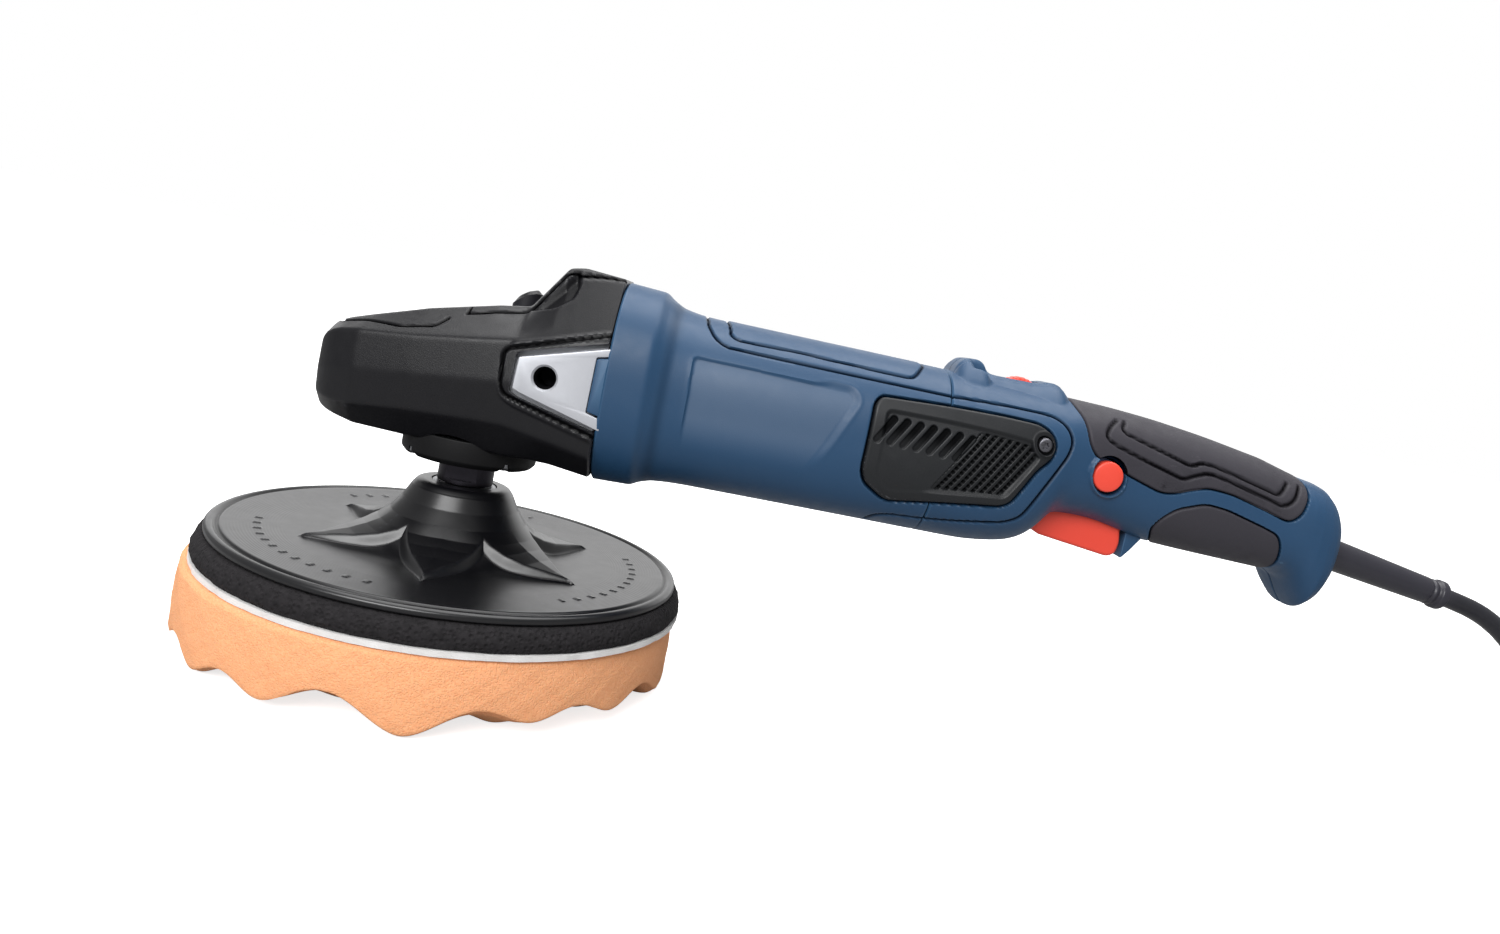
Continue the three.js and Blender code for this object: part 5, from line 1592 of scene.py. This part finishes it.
def cord_tie():
    """A hook-and-loop band round the coil's bundle of turns."""
    angle = math.radians(215)
    out = np.array([math.cos(angle), math.sin(angle)])
    along = np.array([-out[1], out[0]])
    middle, height = (COIL_COLUMNS[0] + COIL_COLUMNS[-1]) / 2, 15
    loop_angle = np.arange(96) * TAU / 96
    half_out, half_up = 15.8, 14.95
    power = 2 / 6
    reach = lambda size, wave: size * np.sign(wave) * np.abs(wave) ** power
    rings = []
    for inset, shift in ((0, -8), (0, -7.6), (0, 7.6), (0, 8), (1.1, 8), (1.1, -8), (0, -8)):
        swell = 0.35 if abs(shift) < 7.7 else 0
        a = middle + reach(half_out + swell - inset, np.cos(loop_angle))
        b = height + reach(half_up - inset, np.sin(loop_angle)) + 0.05
        xy = np.outer(a, out) + along * shift + np.array(COIL_CENTRE)
        rings.append(np.column_stack([xy, b]))
    piece = from_rings("cord_tie", rings, INNER_BLACK, 40)
    settle(piece, "root", "black_plastic")
    return piece


def cord_boot():
    """The strain relief: collar, neck and a tapered sleeve with two shallow ring grooves near its end."""
    start = np.array([HANDLE_END_X, 0, BOOT_Z])
    end = np.array(CORD_EXIT, float)
    length = float(np.linalg.norm(end - start)) - GAP
    profile = [(0, -13.4), (9, -13.4), (9, -10.8), (6.4, -10.6), (6.4, 1.5)]
    profile += [(6.2, 8), (5.3, length - 10)]
    for ring in (7.6, 5.2):
        profile += [(5.25, length - ring), (4.8, length - ring + 0.4), (4.8, length - ring + 1.1),
                    (5.25, length - ring + 1.5)]
    profile += [(5.9, length - 3.2), (5.9, length - 0.6), (5.4, length), (0, length)]
    piece = lathe("cord_boot_sleeve", eased(profile, 0.3, 2), BOOT_RUBBER, segments=72)
    turn = Vector((0, 0, 1)).rotation_difference(Vector(end - start)).to_matrix().to_4x4()
    piece.data.transform(Matrix.Translation(Vector(start) * MM) @ turn)
    settle(piece, "root", "cord_rubber", "cord_boot")
    return piece


def mains_plug():
    """A moulded round plug with grip ridges and two pins, along +Y."""
    x, y, z = PLUG_END
    profile = [(0, 0), (5.4, 0)]
    for k in range(4):
        at = 2 + k * 3.4
        profile += [(5.6 + at * 0.08, at), (4.9 + at * 0.08, at + 0.7), (4.9 + at * 0.08, at + 1.8),
                    (5.6 + at * 0.08, at + 2.4)]
    profile += [(7, 16), (13, 24), (17.4, 30), (17.6, 31), (17.6, 42), (16.6, 44), (0, 44)]

    def flutes(angle):
        return -0.012 * (0.5 + 0.5 * np.cos(angle * 24)) ** 2

    body = lathe("mains_plug", eased(profile, 0.6, 3), CORD, "y", (x, y, z), 144, 34, flutes)
    for shift in (-9.5, 9.5):
        pin = lathe("pin", eased([(0, 43), (2.4, 43), (2.4, 61.5), (1.6, 63), (0, 63.2)], 0.5, 3), STEEL, "y",
                    (x + shift, y, z), 32)
        settle(pin, "root", "steel")
        pin.name = f"plug_pin_{'left' if shift < 0 else 'right'}"
    settle(body, "root", "cord_rubber", "plug")
    return body


def cord_set():
    cord = make_cord()
    tie = cord_tie()
    boot = cord_boot()
    plug = mains_plug()
    round(line_length(cord_line()), 2)


# ---------------------------------------------------------------- inner parts

INNER_FINISHES = {
    "steel": STEEL, "copper": COPPER, "aluminium": CAST, "black": INNER_BLACK, "carbon": CARBON,
}
INNER_NODES = {
    "steel": (
        "crown_wheel", "bevel_pinion", "lower_spindle_bearing", "upper_spindle_bearing",
        "front_motor_bearing", "rear_motor_bearing", "armature_shaft", "armature_core", "stator",
    ),
    "copper": (
        "front_winding", "rear_winding", "commutator", "upper_field_coil", "lower_field_coil",
        "left_brush_holder", "right_brush_holder",
    ),
    "aluminium": ("bearing_plate",),
    "black": ("cooling_fan", "air_baffle", "switch_body", "electronics_module", "cord_clamp"),
    "carbon": ("left_carbon_brush", "right_carbon_brush"),
}


def dress_inner_parts():
    for finish, nodes in INNER_NODES.items():
        for node in nodes:
            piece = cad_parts[node]
            piece.data.materials.clear()
            piece.data.materials.append(INNER_FINISHES[finish])


# ---------------------------------------------------------------- floor and light

FLOOR_GLOW = 0.75
FLOOR_BOUNCE = 0.3


def make_floor():
    size = 40
    points = [(-size, -size, 0), (size, -size, 0), (size, size, 0), (-size, size, 0)]
    mesh = bpy.data.meshes.new("floor")
    mesh.from_pydata(points, [], [(0, 1, 2, 3)])
    floor = bpy.data.objects.new("floor", mesh)
    bpy.context.scene.collection.objects.link(floor)
    n = Nodes("floor")
    seen = n.add("ShaderNodeLightPath").outputs["Is Camera Ray"]
    pale = n.mix(n.noise(6, 3), (0.86, 0.86, 0.865), (0.88, 0.88, 0.88))
    n.link(n.mix(seen, (FLOOR_BOUNCE, FLOOR_BOUNCE, FLOOR_BOUNCE), pale), n.shader.inputs["Base Color"])
    n.link(n.remap(seen, 0, 1, 0, FLOOR_GLOW), n.shader.inputs["Emission Strength"])
    n.shader.inputs["Roughness"].default_value = 0.9
    n.shader.inputs["Specular IOR Level"].default_value = 0.1
    n.shader.inputs["Emission Color"].default_value = (1, 1, 1, 1)
    mesh.materials.append(n.material)


def area_light(name, place, target, size, power, colour=(1, 1, 1)):
    data = bpy.data.lights.new(name, "AREA")
    data.shape = "RECTANGLE"
    data.size, data.size_y = size
    data.energy = power
    data.color = colour
    lamp = bpy.data.objects.new(name, data)
    bpy.context.scene.collection.objects.link(lamp)
    lamp.visible_camera = False
    lamp.location = place
    lamp.rotation_mode = "QUATERNION"
    lamp.rotation_quaternion = (Vector(target) - Vector(place)).to_track_quat("-Z", "Y")


SKY_LIGHT = 0.38


def make_light():
    world = bpy.data.worlds.new("studio")
    world.use_nodes = True
    tree = world.node_tree
    backdrop = tree.nodes["Background"]
    seen = tree.nodes.new("ShaderNodeLightPath").outputs["Is Camera Ray"]
    strength = tree.nodes.new("ShaderNodeMapRange")
    strength.inputs["To Min"].default_value = SKY_LIGHT
    strength.inputs["To Max"].default_value = 1
    tree.links.new(seen, strength.inputs["Value"])
    tree.links.new(strength.outputs["Result"], backdrop.inputs["Strength"])
    backdrop.inputs["Color"].default_value = (1, 1, 1, 1)
    bpy.context.scene.world = world
    bpy.context.scene.view_settings.view_transform = "Standard"
    area_light("top_softbox", (0.15, 0.25, 1.5), (0.12, 0, 0.1), (1.8, 1.4), 27)
    area_light("front_softbox", (-0.45, -1.5, 1.05), (0.14, 0, 0.1), (1.3, 0.8), 31)
    area_light("rear_softbox", (0.1, 2.4, 0.75), (0.1, 0, 0.1), (4.5, 1.4), 21)


# ---------------------------------------------------------------- assembly

cord_set()
motor_housing()
for side_name, side_sign in (("left", -1), ("right", 1)):
    handle_shell(side_name, side_sign)
    side_pieces(side_name, side_sign)
head_cover()
gear_housing()
bearing_flange()
spindle_lock_button()
screws()
spindle()
backing_plate()
plate_insert()
pad_stack()
trigger()
lock_on_button()
speed_wheel()
dress_inner_parts()
make_floor()
make_light()
